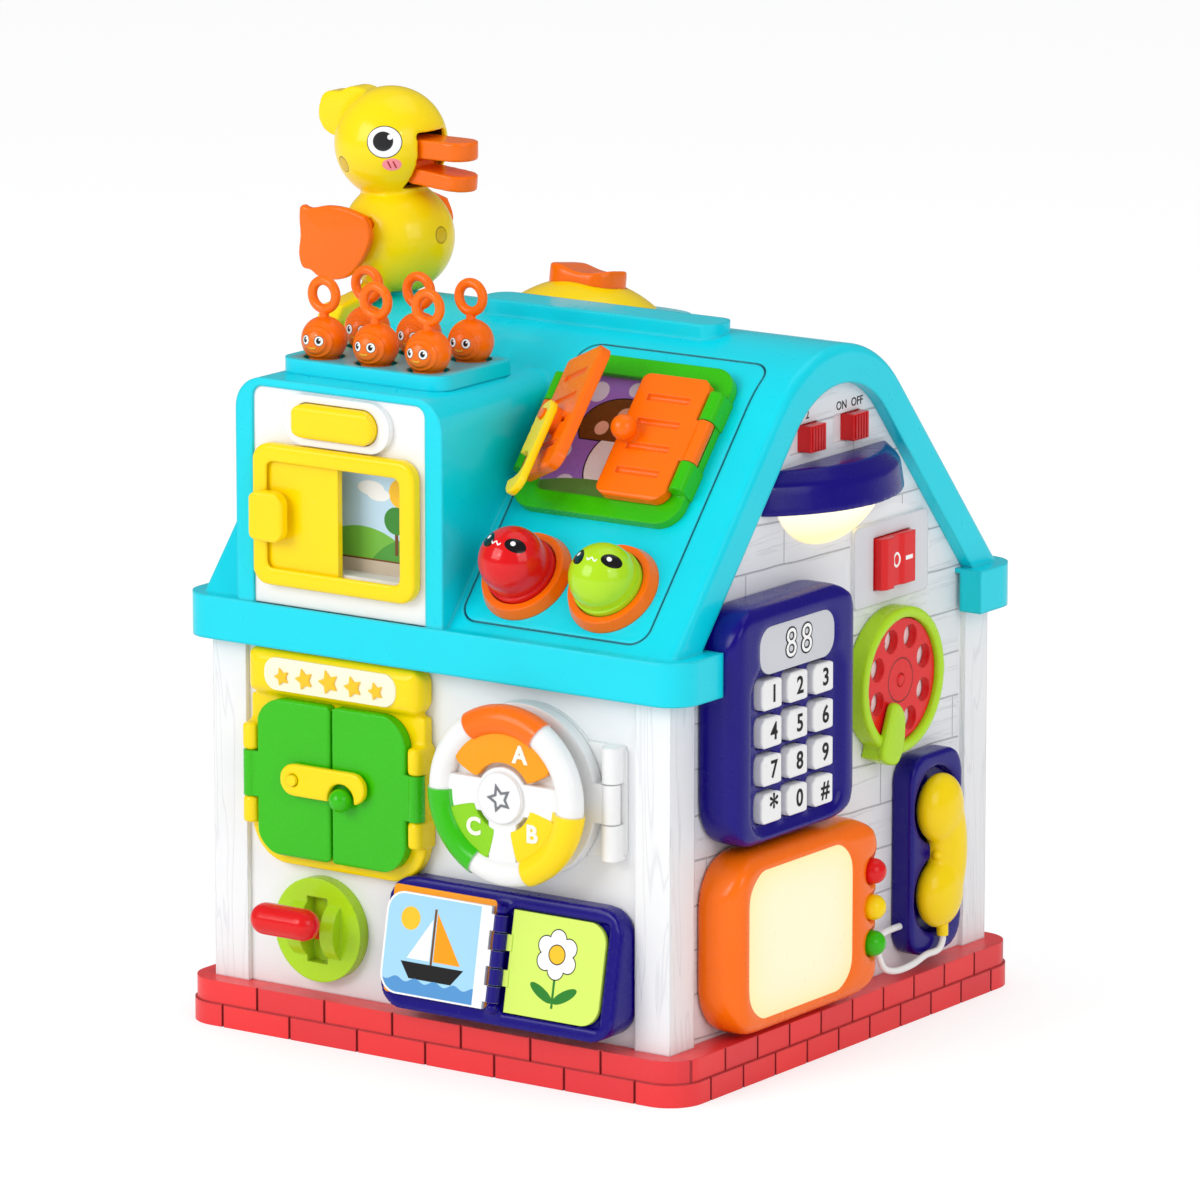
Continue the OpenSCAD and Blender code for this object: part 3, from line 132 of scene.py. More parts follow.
class Wire:
    def __init__(self, finish, socket):
        self.finish, self.socket = finish, socket

    def math(self, operation, *others, clamp=False):
        return self.finish.math(operation, self, *others, clamp=clamp)

    def __add__(self, other):
        return self.math("ADD", other)

    __radd__ = __add__

    def __sub__(self, other):
        return self.math("SUBTRACT", other)

    def __rsub__(self, other):
        return self.finish.math("SUBTRACT", other, self)

    def __mul__(self, other):
        return self.math("MULTIPLY", other)

    __rmul__ = __mul__

    def __truediv__(self, other):
        return self.math("DIVIDE", other)

    def __pow__(self, other):
        return self.math("POWER", other)

    def size(self):
        return self.math("ABSOLUTE")

    def over(self, edge, soft=0.15):  # 1 above the edge
        return self.math("MULTIPLY_ADD", 1 / soft, 0.5 - edge / soft, clamp=True)

    def under(self, edge, soft=0.15):  # 1 below the edge
        return self.math("MULTIPLY_ADD", -1 / soft, 0.5 + edge / soft, clamp=True)

    def within(self, low, high, soft=0.15):
        return (self - (low + high) / 2).size().under((high - low) / 2, soft)


class Finish:
    def __init__(self, name):
        self.material = bpy.data.materials.new(name)
        self.material.use_nodes = True
        self.tree = self.material.node_tree
        self.tree.nodes.clear()
        self.spots = {}
        self.coords = self.node("ShaderNodeTexCoord").outputs["Object"]
        self.shader = self.node("ShaderNodeBsdfPrincipled")
        out = self.node("ShaderNodeOutputMaterial")
        self.tree.links.new(self.shader.outputs[0], out.inputs[0])
        self.edge, self.height = 0, None

    def node(self, kind, settings=None, inputs=None):
        made = self.tree.nodes.new(kind)
        for key, value in (settings or {}).items():
            setattr(made, key, value)
        for key, value in (inputs or {}).items():
            self.plug(made.inputs[key], value)
        return made

    def plug(self, socket, value):
        if isinstance(value, Wire):
            self.tree.links.new(value.socket, socket)
        elif isinstance(value, bpy.types.NodeSocket):
            self.tree.links.new(value, socket)
        else:
            socket.default_value = value

    def math(self, operation, *values, clamp=False):
        made = self.node("ShaderNodeMath", {"operation": operation, "use_clamp": clamp}, dict(enumerate(values)))
        return Wire(self, made.outputs[0])

    def mix(self, factor, a, b):
        made = self.node("ShaderNodeMix", {"data_type": "RGBA"}, {0: factor, 6: a, 7: b})
        return Wire(self, made.outputs[2])

    # place on a plane, in mm
    def spot(self, origin, turn):
        key = (tuple(origin), tuple(turn))
        if key not in self.spots:
            moved = self.node("ShaderNodeMapping", {"vector_type": "TEXTURE"}, {
                "Vector": self.coords, "Location": Vector(origin) * mm,
                "Rotation": turn, "Scale": (mm, mm, mm)})
            split = self.node("ShaderNodeSeparateXYZ", None, {0: moved.outputs[0]})
            self.spots[key] = [Wire(self, split.outputs[k]) for k in range(3)]
        return self.spots[key]

    def on(self, plane):
        origin, turn = planes[plane]
        return self.spot(origin, [math.radians(t) for t in turn])

    # place on a ball, seen along a direction from its centre
    def facing(self, centre, towards):
        return self.spot(centre, Vector(towards).to_track_quat("Z", "Y").to_euler())

    def noise(self, scale, detail=2.0, stretch=None, distortion=0.0):
        where = self.coords
        if stretch:
            where = self.node("ShaderNodeMapping", None, {"Vector": where, "Scale": stretch}).outputs[0]
        made = self.node("ShaderNodeTexNoise", None, {
            "Vector": where, "Scale": scale, "Detail": detail, "Distortion": distortion})
        return Wire(self, made.outputs[0])

    def disc(self, p, cu, cv, ru, rv=None, soft=0.2):
        u, v = p[:2]
        d = ((u - cu) / ru) ** 2 + ((v - cv) / (rv or ru)) ** 2
        return d.under(1, 2 * soft / ru)

    def ring(self, p, cu, cv, r, half, soft=0.15):
        u, v = p[:2]
        d = ((u - cu) ** 2 + (v - cv) ** 2) ** 0.5
        return d.within(r - half, r + half, soft)

    def bar(self, p, u0, u1, v0, v1, soft=0.2):
        return p[0].within(u0, u1, soft) * p[1].within(v0, v1, soft)

    def card(self, p, u0, u1, v0, v1, r, soft=0.2):  # a bar with round corners
        du = ((p[0] - (u0 + u1) / 2).size() - ((u1 - u0) / 2 - r)).math("MAXIMUM", 0)
        dv = ((p[1] - (v0 + v1) / 2).size() - ((v1 - v0) / 2 - r)).math("MAXIMUM", 0)
        return ((du ** 2 + dv ** 2) ** 0.5).under(r, soft)

    def fan(self, p, corners, soft=0.2):  # a convex shape, corners anticlockwise
        mask = None
        for (a, b), (c, d) in zip(corners, corners[1:] + corners[:1]):
            run = math.hypot(c - a, d - b)
            side = p[0] * (-(d - b) / run) + p[1] * ((c - a) / run) + (a * (d - b) - b * (c - a)) / run
            mask = side.over(0, soft) if mask is None else mask * side.over(0, soft)
        return mask

    def paint(self, mask, tint):
        self.colour = self.mix(mask, self.colour, tint)

    def emboss(self, mask, depth):  # depth in mm, below zero for a groove
        self.height = mask * depth if self.height is None else self.height + mask * depth

    def close(self):
        normal = None
        if self.edge:
            normal = self.node("ShaderNodeBevel", {"samples": 6}, {"Radius": self.edge * mm}).outputs[0]
            plain = self.node("ShaderNodeNewGeometry").outputs["Normal"]
            bend = Wire(self, self.node("ShaderNodeVectorMath", {"operation": "DOT_PRODUCT"},
                                        {0: normal, 1: plain}).outputs["Value"])
            # edges are painted lighter where the bevel bends the normal: a painted highlight
            edgeHighlight = (1 - bend).math("MULTIPLY", 3 * self.wear, clamp=True)
            self.colour = self.mix(edgeHighlight, self.colour, self.pale)
        bump = self.node("ShaderNodeBump", None, {
            "Strength": 1.0, "Distance": mm, "Height": self.height})
        if normal is not None:
            self.plug(bump.inputs["Normal"], normal)
        self.plug(self.shader.inputs["Normal"], bump.outputs[0])
        self.plug(self.shader.inputs["Base Color"], self.colour)
        self.plug(self.shader.inputs["Roughness"], self.rough)
        return self.material


# moulded plastic: faint flow in the colour, uneven gloss, fine skin, and a painted highlight along the edges whose
# strength is set by wear
def plastic(name, tint, rough=0.27, coat=0.22, edge=1.0, skin=0.006, wear=0.35):
    made = Finish(name)
    flow = made.noise(28, 3)
    made.colour = made.mix(flow, shade(tint, 0.95), shade(tint, 1.04))
    made.rough = made.noise(160, 3) * 0.14 + (rough - 0.07)
    made.height = made.noise(900, 2) * skin
    made.edge, made.wear = edge, wear
    made.pale = shade(tuple(c + 0.06 for c in tint[:3]), 1.12)
    made.shader.inputs["Coat Weight"].default_value = coat
    made.shader.inputs["Coat Roughness"].default_value = 0.05
    made.shader.inputs["IOR"].default_value = 1.48
    made.shader.inputs["Specular IOR Level"].default_value = 0.26
    return made


tints = {
    "cyan": rgb(0, 214, 232), "brick": rgb(242, 58, 60), "white": rgb(240, 240, 240), "cream": rgb(255, 247, 214),
    "yellow": rgb(255, 218, 0), "orange": rgb(255, 112, 0), "amber": rgb(255, 158, 0), "green": rgb(52, 188, 2),
    "lime": rgb(176, 222, 28), "leaf": rgb(140, 210, 16), "red": rgb(226, 22, 26), "indigo": rgb(18, 0, 122),
    "sky": rgb(164, 214, 240), "meadow": rgb(214, 240, 106), "black": rgb(22, 20, 22), "paper": rgb(250, 250, 250),
    "grey": rgb(206, 208, 214), "board": rgb(30, 110, 70), "lilac": rgb(160, 118, 214), "brown": rgb(116, 72, 30),
    "pink": rgb(255, 150, 160), "straw": rgb(252, 196, 40), "rust": rgb(168, 34, 40), "deepCyan": rgb(6, 92, 116),
}


def wear(node, finish):
    owner = frame["nodes"][node]
    material = finish.close() if isinstance(finish, Finish) else finish
    if owner.material_slots:
        for held in owner.material_slots:
            held.material = material
    else:
        owner.data.materials.append(material)


# plain nodes that share one finish
plainSets = {
    "yellow": {"nodes": ["dormer_frame", "dormer_door", "dormer_button", "ridge_dome", "shutter_latch", "window_frame",
                         "window_latch", "tv_button_yellow", "handset"], "rough": 0.25},
    "orange": {"nodes": ["duck_beak_upper", "duck_beak_lower", "duck_wings", "ridge_button", "shutter_left",
                         "shutter_right", "ball_rings", "tv_housing"], "rough": 0.26},
    "green": {"nodes": ["window_door_right", "tv_button_green"], "rough": 0.27},
    "lime": {"nodes": ["lever_housing"], "rough": 0.28},
    "red": {"nodes": ["lever_handle", "slide_switch_1", "slide_switch_2", "tv_button_red"], "rough": 0.22},
    "indigo": {"nodes": ["book_frame", "lamp_shade", "keypad_housing", "handset_cradle"], "rough": 0.26,
               "coat": 0.12},
    "white": {"nodes": ["battery_door", "steering_mount", "steering_door", "key_row_1", "key_row_2", "key_row_3",
                        "key_row_4"], "rough": 0.3},
    "board": {"nodes": ["sound_board"], "rough": 0.5},
}


def dressPlain():
    for tint, facts in plainSets.items():
        # each set: softened copies or not, bevel radius, strength of the painted edge highlight
        for soft, edge, edgeHighlight in ((False, 1.0, 0.35), (True, 0.6, 0.08)):
            material = None
            for node in facts["nodes"]:
                if (node in moulded) == soft:
                    name = tint + ("Moulded" if soft else "Plastic")
                    material = material or plastic(name, tints[tint], facts["rough"], facts.get("coat", 0.22), edge,
                                                   wear=edgeHighlight).close()
                    wear(node, material)


# roof: cyan shell with painted shade, dark deep cyan, in the groove round the panel
roof = {"slope": 122, "ridge": 243.6, "seam": (10.5, 107.5), "groove": (-1.3, -0.25), "bend": (60.7, 61.75),
        "trayTop": 295.3, "trayAt": (-46.5, -87), "trayHalf": (39.5, 25)}


def dressRoof():
    made = plastic("roofPlastic", tints["cyan"], rough=0.3, edge=2.2)
    u, v, w = made.on("slope")
    x, y, z = made.on("world")
    rho = (y ** 2 + (z - roof["ridge"]) ** 2) ** 0.5
    # surfaces sunk inside the groove are painted dark: painted shade in the groove
    flat = w.within(*roof["groove"]) * v.within(2, roof["slope"])
    bent = rho.within(*roof["bend"]) * v.over(roof["slope"]) * y.under(-2)
    seam = (flat + bent).math("MINIMUM", 1) * u.within(*roof["seam"], 0.5)
    made.paint(seam, tints["deepCyan"])
    wear("roof_shell", made)
    tray = plastic("trayPlastic", tints["cyan"], rough=0.33, edge=1.6)
    x, y, z = tray.on("world")
    (midX, midY), (halfX, halfY) = roof["trayAt"], roof["trayHalf"]
    inset = z.over(roof["trayTop"]) * (x - midX).size().under(halfX, 0.4) * (y - midY).size().under(halfY, 0.4)
    tray.paint(inset, rgb(96, 176, 190))
    wear("fish_tray", tray)


# brick plinth: each brick a little lighter or darker, joints dark
bricks = {"front": 36.3, "side": 24.4, "course": 10, "joint": 0.75, "halfDeep": 133, "halfWide": 132,
          "face": 2.4, "bed": (9.6, 10.4), "top": 19.7}


def dressPlinth():
    made = plastic("brickPlastic", tints["brick"], rough=0.36, edge=0.8)
    x, y, z = made.on("world")
    upper = z.over(bricks["course"], 0.05)
    alongX = x / bricks["front"] + upper * 0.5
    alongY = y / bricks["side"] + (1 - upper) * 0.5
    cell = made.node("ShaderNodeCombineXYZ", None, {0: alongX.math("FLOOR"), 1: alongY.math("FLOOR"), 2: upper})
    tone = Wire(made, made.node("ShaderNodeTexWhiteNoise", None, {"Vector": cell.outputs[0]}).outputs["Value"])
    made.colour = made.mix(tone, made.colour, rgb(226, 56, 62))
    gapX = (alongX.math("FRACT") - 0.5).size().over(0.5 - bricks["joint"] / bricks["front"], 0.006)
    gapY = (alongY.math("FRACT") - 0.5).size().over(0.5 - bricks["joint"] / bricks["side"], 0.008)
    onFront = y.size().over(bricks["halfDeep"] - bricks["face"])
    onSide = x.size().over(bricks["halfWide"] - bricks["face"])
    joint = gapX * onFront + gapY * onSide
    course = z.within(*bricks["bed"]) * 0.8
    rough = made.noise(420, 4)
    made.emboss(rough, 0.08)
    made.paint(joint.math("MAXIMUM", course, clamp=True) * z.under(bricks["top"]), tints["rust"])
    wear("base_plinth", made)


# walls: planks with thin lines and grain on the gables, wavy grain on the posts
planks = {"pitch": 19.5, "line": 0.32, "wave": 2.6, "board": 92, "butt": 0.25, "gable": (116, 118.2), "clear": 103.5,
          "eave": 190, "post": (101.5, 104.5), "bare": (33, 24), "plateFrom": 119.2, "plateHalf": (29.3, 18.3)}


def dressWalls():
    made = plastic("wallPlastic", rgb(238, 239, 241), rough=0.42, coat=0.1, edge=1.2)
    x, y, z = made.on("world")
    drift = (made.noise(16, 2) - 0.5) * (2 * planks["wave"])
    row = (z + drift + y * 0.03) / planks["pitch"]
    line = (row.math("FRACT") - 0.5).size().over(0.5 - planks["line"] / planks["pitch"], 0.012)
    offset = Wire(made, made.node("ShaderNodeTexWhiteNoise", {"noise_dimensions": "1D"},
                                  {"W": row.math("FLOOR")}).outputs["Value"])
    board = planks["board"]
    butt = ((y / board + offset).math("FRACT") - 0.5).size().over(0.5 - planks["butt"] / board, 0.003)
    rocker = made.on("rocker")
    gable = x.size().within(*planks["gable"]) * (1 - made.disc(rocker, 0, 0, *planks["bare"]) * x.over(0))
    gable = gable * (1 - y.size().over(planks["clear"]) * z.under(planks["eave"]))
    grainLine = made.noise(60, 4, stretch=(1, 0.18, 5), distortion=0.6)
    grain = grainLine.within(0.585, 0.6, 0.012) * gable * 0.22
    seam = (line.math("MAXIMUM", butt) * gable).math("MAXIMUM", grain)
    made.paint(gable * 0.5, rgb(226, 227, 232))
    made.paint(seam * 0.6, rgb(160, 162, 170))
    made.emboss(seam, -0.35)
    postX, postY = planks["post"]
    post = x.size().over(postX) * y.size().over(postY) * z.under(planks["eave"])
    wavy = made.noise(30, 2, stretch=(2.2, 2.2, 0.16), distortion=1.2)
    streak = wavy.within(0.55, 0.565, 0.02) + wavy.within(0.43, 0.442, 0.02)
    made.paint(streak * post * 0.3, rgb(184, 186, 194))
    made.emboss(streak * post, -0.12)
    halfU, halfV = planks["plateHalf"]
    plate = x.over(planks["plateFrom"]) * rocker[0].size().under(halfU) * rocker[1].size().under(halfV)
    made.paint(plate, rgb(218, 219, 224))
    wear("wall_shell", made)


# dormer: white front with a small generic picture behind the sliding door
def dressDormer():
    made = plastic("dormerPlastic", tints["white"], rough=0.34, edge=1.0)
    p = made.on("dormer")
    u, v, w = p
    back = w.under(-9.4) * u.size().under(35.5) * v.size().under(23.5)
    made.paint(back, rgb(196, 226, 246))
    made.paint(back * made.disc(p, 25, 13, 6.5), tints["straw"])
    made.paint(back * made.disc(p, 9, 14, 7, 3.2), tints["paper"])
    made.paint(back * made.disc(p, 13, 11.5, 6, 2.8), tints["paper"])
    made.paint(back * made.disc(p, 4, -34, 34, 31), rgb(120, 190, 70))
    made.paint(back * made.disc(p, 32, -38, 30, 32), rgb(80, 160, 60))
    made.paint(back * made.bar(p, 21.6, 23.4, -14, -2), tints["brown"])
    made.paint(back * made.disc(p, 22.5, 1, 6.5, 6), rgb(60, 140, 50))
    made.paint(back * v.under(-17), rgb(206, 190, 170))
    made.paint(back * v.within(-17.4, -16.6), tints["brown"])
    wear("dormer_front", made)


# fish: two eyes, lips, a raised ring round the face, and painted shade in the dip at the foot of the face
fish = {"first": (-74, -102.5, 303), "stepX": 27.5, "stepY": 31, "top": 312.6,
        "eyes": ((-0.286, -0.955, 0.081), (0.384, -0.92, 0.079)), "lips": (0.036, -0.963, -0.268),
        "face": (0.12, -0.99, -0.02)}


def dressFish():
    for k in range(6):
        centre = Vector(fish["first"]) + Vector((k % 3 * fish["stepX"], k // 3 * fish["stepY"], 0))
        made = plastic("fishPlastic%d" % (k + 1), tints["orange"], rough=0.28)
        p = made.facing(centre, fish["face"])
        front = p[2].over(1, 0.5) * made.on("world")[2].under(fish["top"])
        d = (p[0] ** 2 + (p[1] * 1.15) ** 2) ** 0.5
        made.emboss(front * d.under(5.6, 1.0), 0.35)
        made.emboss(front * d.within(7.0, 7.9, 0.5), 0.3)
        # faint darker orange at the foot of the raised face: painted shade
        made.paint(front * d.within(5.5, 6.0, 0.5) * 0.3, rgb(200, 76, 0))
        for eye in fish["eyes"]:
            q = made.facing(centre, eye)
            seen = q[2].over(1, 0.5)
            made.paint(seen * made.disc(q, 0, 0, 2.15, 2.25), tints["black"])
            made.paint(seen * made.disc(q, 0, 0, 1.9, 2.0), tints["paper"])
            made.paint(seen * made.disc(q, -0.15, 0.05, 1.05, 1.3), tints["black"])
            made.paint(seen * made.disc(q, 0.35, 0.6, 0.42), tints["paper"])
        q = made.facing(centre, fish["lips"])
        smile = (q[1] + (q[0] ** 2) * -0.1).size().under(0.5, 0.2) * q[0].size().under(1.9) * q[2].over(1, 0.5)
        made.paint(smile, rgb(255, 176, 40))
        made.emboss(smile, 0.3)
        wear("fish_%d" % (k + 1), made)


# duck: printed eye and cheek on each side, screw wells with painted shade inside, painted shade in the mouth
duck = {"head": (-113.5, 0, 371.1), "body": (-110, 0, 329.6),
        "eye": (0.483, 0.86, 0.162), "pupil": (0.461, 0.87, 0.173), "dot": (0.558, 0.793, 0.246),
        "cheek": (0.585, 0.774, -0.242), "nape": (-0.409, -0.855, -0.319), "chest": (0.99, -0.056, 0.132),
        "mouth": {"x": (-107, -93.5), "half": 10.45, "z": (353.4, 378)}}


def dressDuck():
    made = plastic("duckPlastic", rgb(255, 222, 10), rough=0.25, edge=1.0)
    for side in (-1, 1):
        def seen(key, centre=duck["head"]):
            d = duck[key]
            p = made.facing(centre, (d[0], side * d[1], d[2]))
            return p, p[2].over(5, 1)
        p, mask = seen("eye")
        made.paint(mask * made.disc(p, 0, 0, 7.8, 7.1), tints["black"])
        made.paint(mask * made.disc(p, 0, 0, 7.4, 6.7), tints["paper"])
        p, mask = seen("pupil")
        made.paint(mask * made.disc(p, 0, 0, 4.5, 4.3), rgb(44, 44, 46))
        p, mask = seen("dot")
        made.paint(mask * made.disc(p, 0, 0, 1.15), tints["paper"])
        p, mask = seen("cheek")
        made.paint(mask * made.disc(p, 0, 0, 4.3, 2.9, soft=0.4), tints["pink"])
        for lean in (-1.2, 1.2):
            stroke = (p[0] - lean + p[1] * 0.45).size().under(0.36) * p[1].size().under(1.6)
            made.paint(mask * stroke, rgb(176, 40, 50))
    for way, centre in (("nape", "head"), ("chest", "body")):
        p = made.facing(duck[centre], duck[way])
        well = p[2].over(5, 1) * made.disc(p, 0, 0, 3.6, soft=0.5)
        made.emboss(well, -1.5)
        # the wells are painted darker yellow: painted shade in the hollows
        made.paint(well * 0.55, rgb(196, 150, 0))
    # the mouth socket inside the head is painted dark brown: painted shade
    x, y, z = made.on("world")
    gape = duck["mouth"]
    mouth = x.over(gape["x"][0]) * y.size().under(gape["half"]) * z.within(*gape["z"]) * x.under(gape["x"][1])
    made.paint(mouth, rgb(60, 34, 10))
    wear("duck_body", made)


# dome buttons: two printed eyes and a small squiggle each
domes = {
    "ball_red": {"tint": rgb(222, 14, 20), "centre": (36, -118.46, 222.27),
                 "eyes": ((-0.413, -0.596, 0.688), (0.536, -0.592, 0.6)), "mouth": (-0.043, -0.759, 0.65)},
    "ball_lime": {"tint": tints["lime"], "centre": (80.5, -115.8, 220.0),
                  "eyes": ((-0.429, -0.608, 0.668), (0.64, -0.444, 0.627)), "mouth": (0.118, -0.727, 0.674)},
}


def dressDomes():
    for node, facts in domes.items():
        made = plastic(node + "Plastic", facts["tint"], rough=0.2, coat=0.4)
        for eye in facts["eyes"]:
            p = made.facing(facts["centre"], eye)
            seen = p[2].over(3, 1)
            made.paint(seen * made.disc((p[0] + p[1] * 0.35, p[1], p[2]), 0, 0, 4.4, 3.5), tints["black"])
            made.paint(seen * made.disc(p, -1.0, 0.9, 1.1), tints["paper"])
        p = made.facing(facts["centre"], facts["mouth"])
        wave = (p[1] - (p[0] * 2.1).math("COSINE") * 0.6 + p[0] * 0.12).size().under(0.42)
        made.paint(wave * p[0].size().under(2.5) * p[2].over(3, 1), tints["paper"])
        wear(node, made)


# roof window: green frame over a lilac generic picture
def dressShutters():
    made = plastic("shutterFramePlastic", tints["green"], rough=0.28)
    u, v, w = made.on("slope")
    p = (u - 56, v - 98.5, w)
    back = w.under(1.5) * p[0].size().under(34.2) * p[1].size().under(29.7)
    made.paint(back, tints["lilac"])
    for cu, cv, r in ((-24, 22, 5), (-6, 25, 3.5), (14, 20, 5), (-29, -8, 4), (20, -4, 4), (-22, -24, 5)):
        made.paint(back * made.disc(p, cu, cv, r), rgb(226, 222, 244))
    outline = made.disc(p, -7, 6, 19.6, 14.6) * p[1].over(-1.6)
    made.paint(back * outline, tints["black"])
    stem = made.disc(p, -7, -11, 8.2, 13)
    made.paint(back * made.disc(p, -7, -11, 8.9, 13.7), tints["black"])
    made.paint(back * stem, tints["paper"])
    cap = made.disc(p, -7, 6, 19, 14) * p[1].over(-1)
    made.paint(back * cap, tints["brown"])
    for cu, cv, r in ((-15, 5, 3.4), (-6, 12, 3.8), (3, 5, 3)):
        made.paint(back * made.disc(p, cu, cv, r), rgb(240, 190, 160))
    made.paint(back * made.disc(p, -7, -36, 44, 16), rgb(96, 150, 70))
    wear("shutter_frame", made)


# left window door: the latch's pivot has the latch's colour
pivot = {"u": -67.5, "v": 116.5, "reach": 3.2, "above": 15.5}


def dressWindow():
    made = plastic("doorPlastic", tints["green"], rough=0.27)
    p = made.on("front")
    made.paint(made.disc(p, pivot["u"], pivot["v"], pivot["reach"]) * p[2].over(pivot["above"]), tints["yellow"])
    wear("window_door_left", made)


# steering wheel: coloured grips on a white rim
wheel = {"grips": ((90, "orange"), (212, "green"), (322, "yellow")), "half": 32.3, "inner": 26, "tube": 33,
         "bareSquare": 35.5}


def dressWheel():
    made = plastic("wheelPlastic", tints["white"], rough=0.3, edge=1.4)
    u, v, w = made.on("wheel")
    r = (u ** 2 + v ** 2) ** 0.5
    for angle, tint in wheel["grips"]:
        c, s = math.cos(math.radians(angle)), math.sin(math.radians(angle))
        grip = ((u * c + v * s) / r).over(math.cos(math.radians(wheel["half"])), 0.006) * r.over(wheel["inner"], 0.3)
        made.paint(grip * ((r - wheel["tube"]) ** 2 + w ** 2).over(wheel["bareSquare"], 1.0), tints[tint])
    wear("steering_wheel", made)


# book pages: printed panels with generic motifs, a boat and a flower
pages = {"top": 2.4, "panel": (-58, 0, -21.2, 21.2, 8.2), "panelEnd": -10, "sun": (-46, 11, 5),
         "sail": [(-32.2, -6), (-18, -6), (-32.2, 15)], "jib": [(-46, -6), (-34.2, -6), (-34.2, 12)],
         "mast": (-33.8, -32.6, -9, 16.5), "hull": [(-44, -14.5), (-22, -14.5), (-16, -7.5), (-49, -7.5)],
         "knuckle": 3.1, "rightTop": -1.2, "stem": (28.4, 29.6, -17, 2), "leaves": ((23, 0.5), (35, -0.5)),
         "flower": (29, 6), "petals": 6, "petalAt": 6.6, "petal": 3.9, "heart": 3.9, "rim": 0.5}


def dressPages():
    left = plastic("leftPage", tints["paper"], rough=0.45, coat=0.1, edge=0.5)
    p = left.on("book")
    top = p[2].over(pages["top"])
    panel = top * left.card(p, *pages["panel"]) * p[0].under(pages["panelEnd"])
    left.paint(panel, tints["sky"])
    left.paint(panel * left.disc(p, *pages["sun"]), tints["straw"])
    left.paint(panel * left.fan(p, pages["sail"]), tints["amber"])
    left.paint(panel * left.fan(p, pages["jib"]), tints["paper"])
    left.paint(panel * left.bar(p, *pages["mast"]), tints["brown"])
    left.paint(panel * left.fan(p, pages["hull"]), tints["black"])
    swell = (p[1] + 15.2 - (p[0] * 0.62).math("COSINE") * 0.9).under(0)
    left.paint(panel * swell, rgb(84, 150, 210))
    left.paint(p[0].over(-pages["knuckle"]), tints["indigo"])
    wear("page_left", left)
    right = plastic("rightPage", tints["lime"], rough=0.45, coat=0.1, edge=0.5)
    p = right.on("book")
    top = p[2].over(pages["rightTop"])
    right.paint(top, tints["meadow"])
    right.paint(p[0].under(pages["knuckle"]), tints["indigo"])
    right.paint(top * right.bar(p, *pages["stem"]), rgb(40, 130, 40))
    for cu, lean in pages["leaves"]:
        right.paint(top * right.disc((p[0], p[1] - (p[0] - cu) * lean * -1, p[2]), cu, -11, 6, 2.6), rgb(40, 130, 40))
    (midU, midV), reach = pages["flower"], pages["petalAt"]
    for grow, tint in ((pages["rim"], "black"), (0, "paper")):
        for k in range(pages["petals"]):
            a = math.radians(360 / pages["petals"] * (k + 0.5))
            petal = right.disc(p, midU + reach * math.cos(a), midV + reach * math.sin(a), pages["petal"] + grow)
            right.paint(top * petal, tints[tint])
    right.paint(top * right.disc(p, midU, midV, pages["heart"] + pages["rim"]), tints["black"])
    right.paint(top * right.disc(p, midU, midV, pages["heart"]), tints["straw"])
    wear("page_right", right)


# dial, rocker and lamp lens
controls = {"dialFloor": (2.0, 3.15), "dialWell": 27.2, "axleFrom": 3.4, "axle": 5, "dialLine": (9.6, 0.28),
            "oval": (2.3, 3.4), "dash": (6, 11.5, -0.9, 0.9), "lensTop": 239, "lensDrop": 14, "lensGlow": 0.75}


def dressGable():
    made = plastic("dialRingPlastic", tints["lime"], rough=0.28, edge=0.6, wear=0.08)
    p = made.on("dial")
    made.paint(p[2].within(*controls["dialFloor"]) * made.disc(p, 0, 0, controls["dialWell"]), tints["paper"])
    made.paint(p[2].over(controls["axleFrom"]) * made.disc(p, 0, 0, controls["axle"]), tints["red"])
    wear("dial_ring", made)
    made = plastic("dialDiscPlastic", tints["red"], rough=0.26)
    p = made.on("dial")
    line = made.ring(p, 0, 0, *controls["dialLine"])
    made.paint(line, rgb(140, 8, 16))
    made.emboss(line, -0.4)
    wear("dial_disc", made)
    made = plastic("rockerPlastic", tints["red"], rough=0.24)
    p = made.on("rocker")
    u, v, w = p
    oval = (((u - 0.4) * 1.35) ** 2 + v ** 2) ** 0.5
    made.paint(oval.within(*controls["oval"]) * w.over(3), tints["paper"])
    made.paint(made.bar(p, *controls["dash"]) * w.over(5), tints["paper"])
    wear("light_rocker", made)
    made = plastic("lensPlastic", rgb(222, 212, 180), rough=0.35, coat=0.1)
    z = made.on("world")[2]
    drop = controls["lensDrop"]
    lower = z.math("MULTIPLY_ADD", -1 / drop, controls["lensTop"] / drop, clamp=True)
    glow = made.mix(lower, rgb(255, 252, 240), rgb(255, 232, 160))
    made.plug(made.shader.inputs["Emission Color"], glow)
    made.shader.inputs["Emission Strength"].default_value = controls["lensGlow"]
    wear("lamp_lens", made)


# modelling helpers

def deselect():
    if bpy.context.object and bpy.context.object.mode != "OBJECT":
        bpy.ops.object.mode_set(mode="OBJECT")
    bpy.ops.object.select_all(action="DESELECT")


def edit(piece, select="SELECT"):
    deselect()
    piece.select_set(True)
    bpy.context.view_layer.objects.active = piece
    bpy.ops.object.mode_set(mode="EDIT")
    bpy.ops.mesh.select_all(action=select)


def joined(pieces):
    deselect()
    for piece in pieces:
        piece.select_set(True)
    bpy.context.view_layer.objects.active = pieces[0]
    bpy.ops.object.join()
    return pieces[0]


# one closed skin of small cells, smoothed a number of rounds
def melt(piece, cell, rounds):
    deselect()
    piece.select_set(True)
    bpy.context.view_layer.objects.active = piece
    skin = piece.modifiers.new("skin", "REMESH")
    skin.mode, skin.voxel_size = "VOXEL", cell * mm
    ease = piece.modifiers.new("ease", "SMOOTH")
    ease.factor, ease.iterations = 0.5, rounds
    for step in (skin.name, ease.name):
        bpy.ops.object.modifier_apply(modifier=step)


def outward(piece):
    edit(piece)
    bpy.ops.mesh.remove_doubles(threshold=1e-6)
    bpy.ops.mesh.normals_make_consistent(inside=False)
    bpy.ops.object.mode_set(mode="OBJECT")


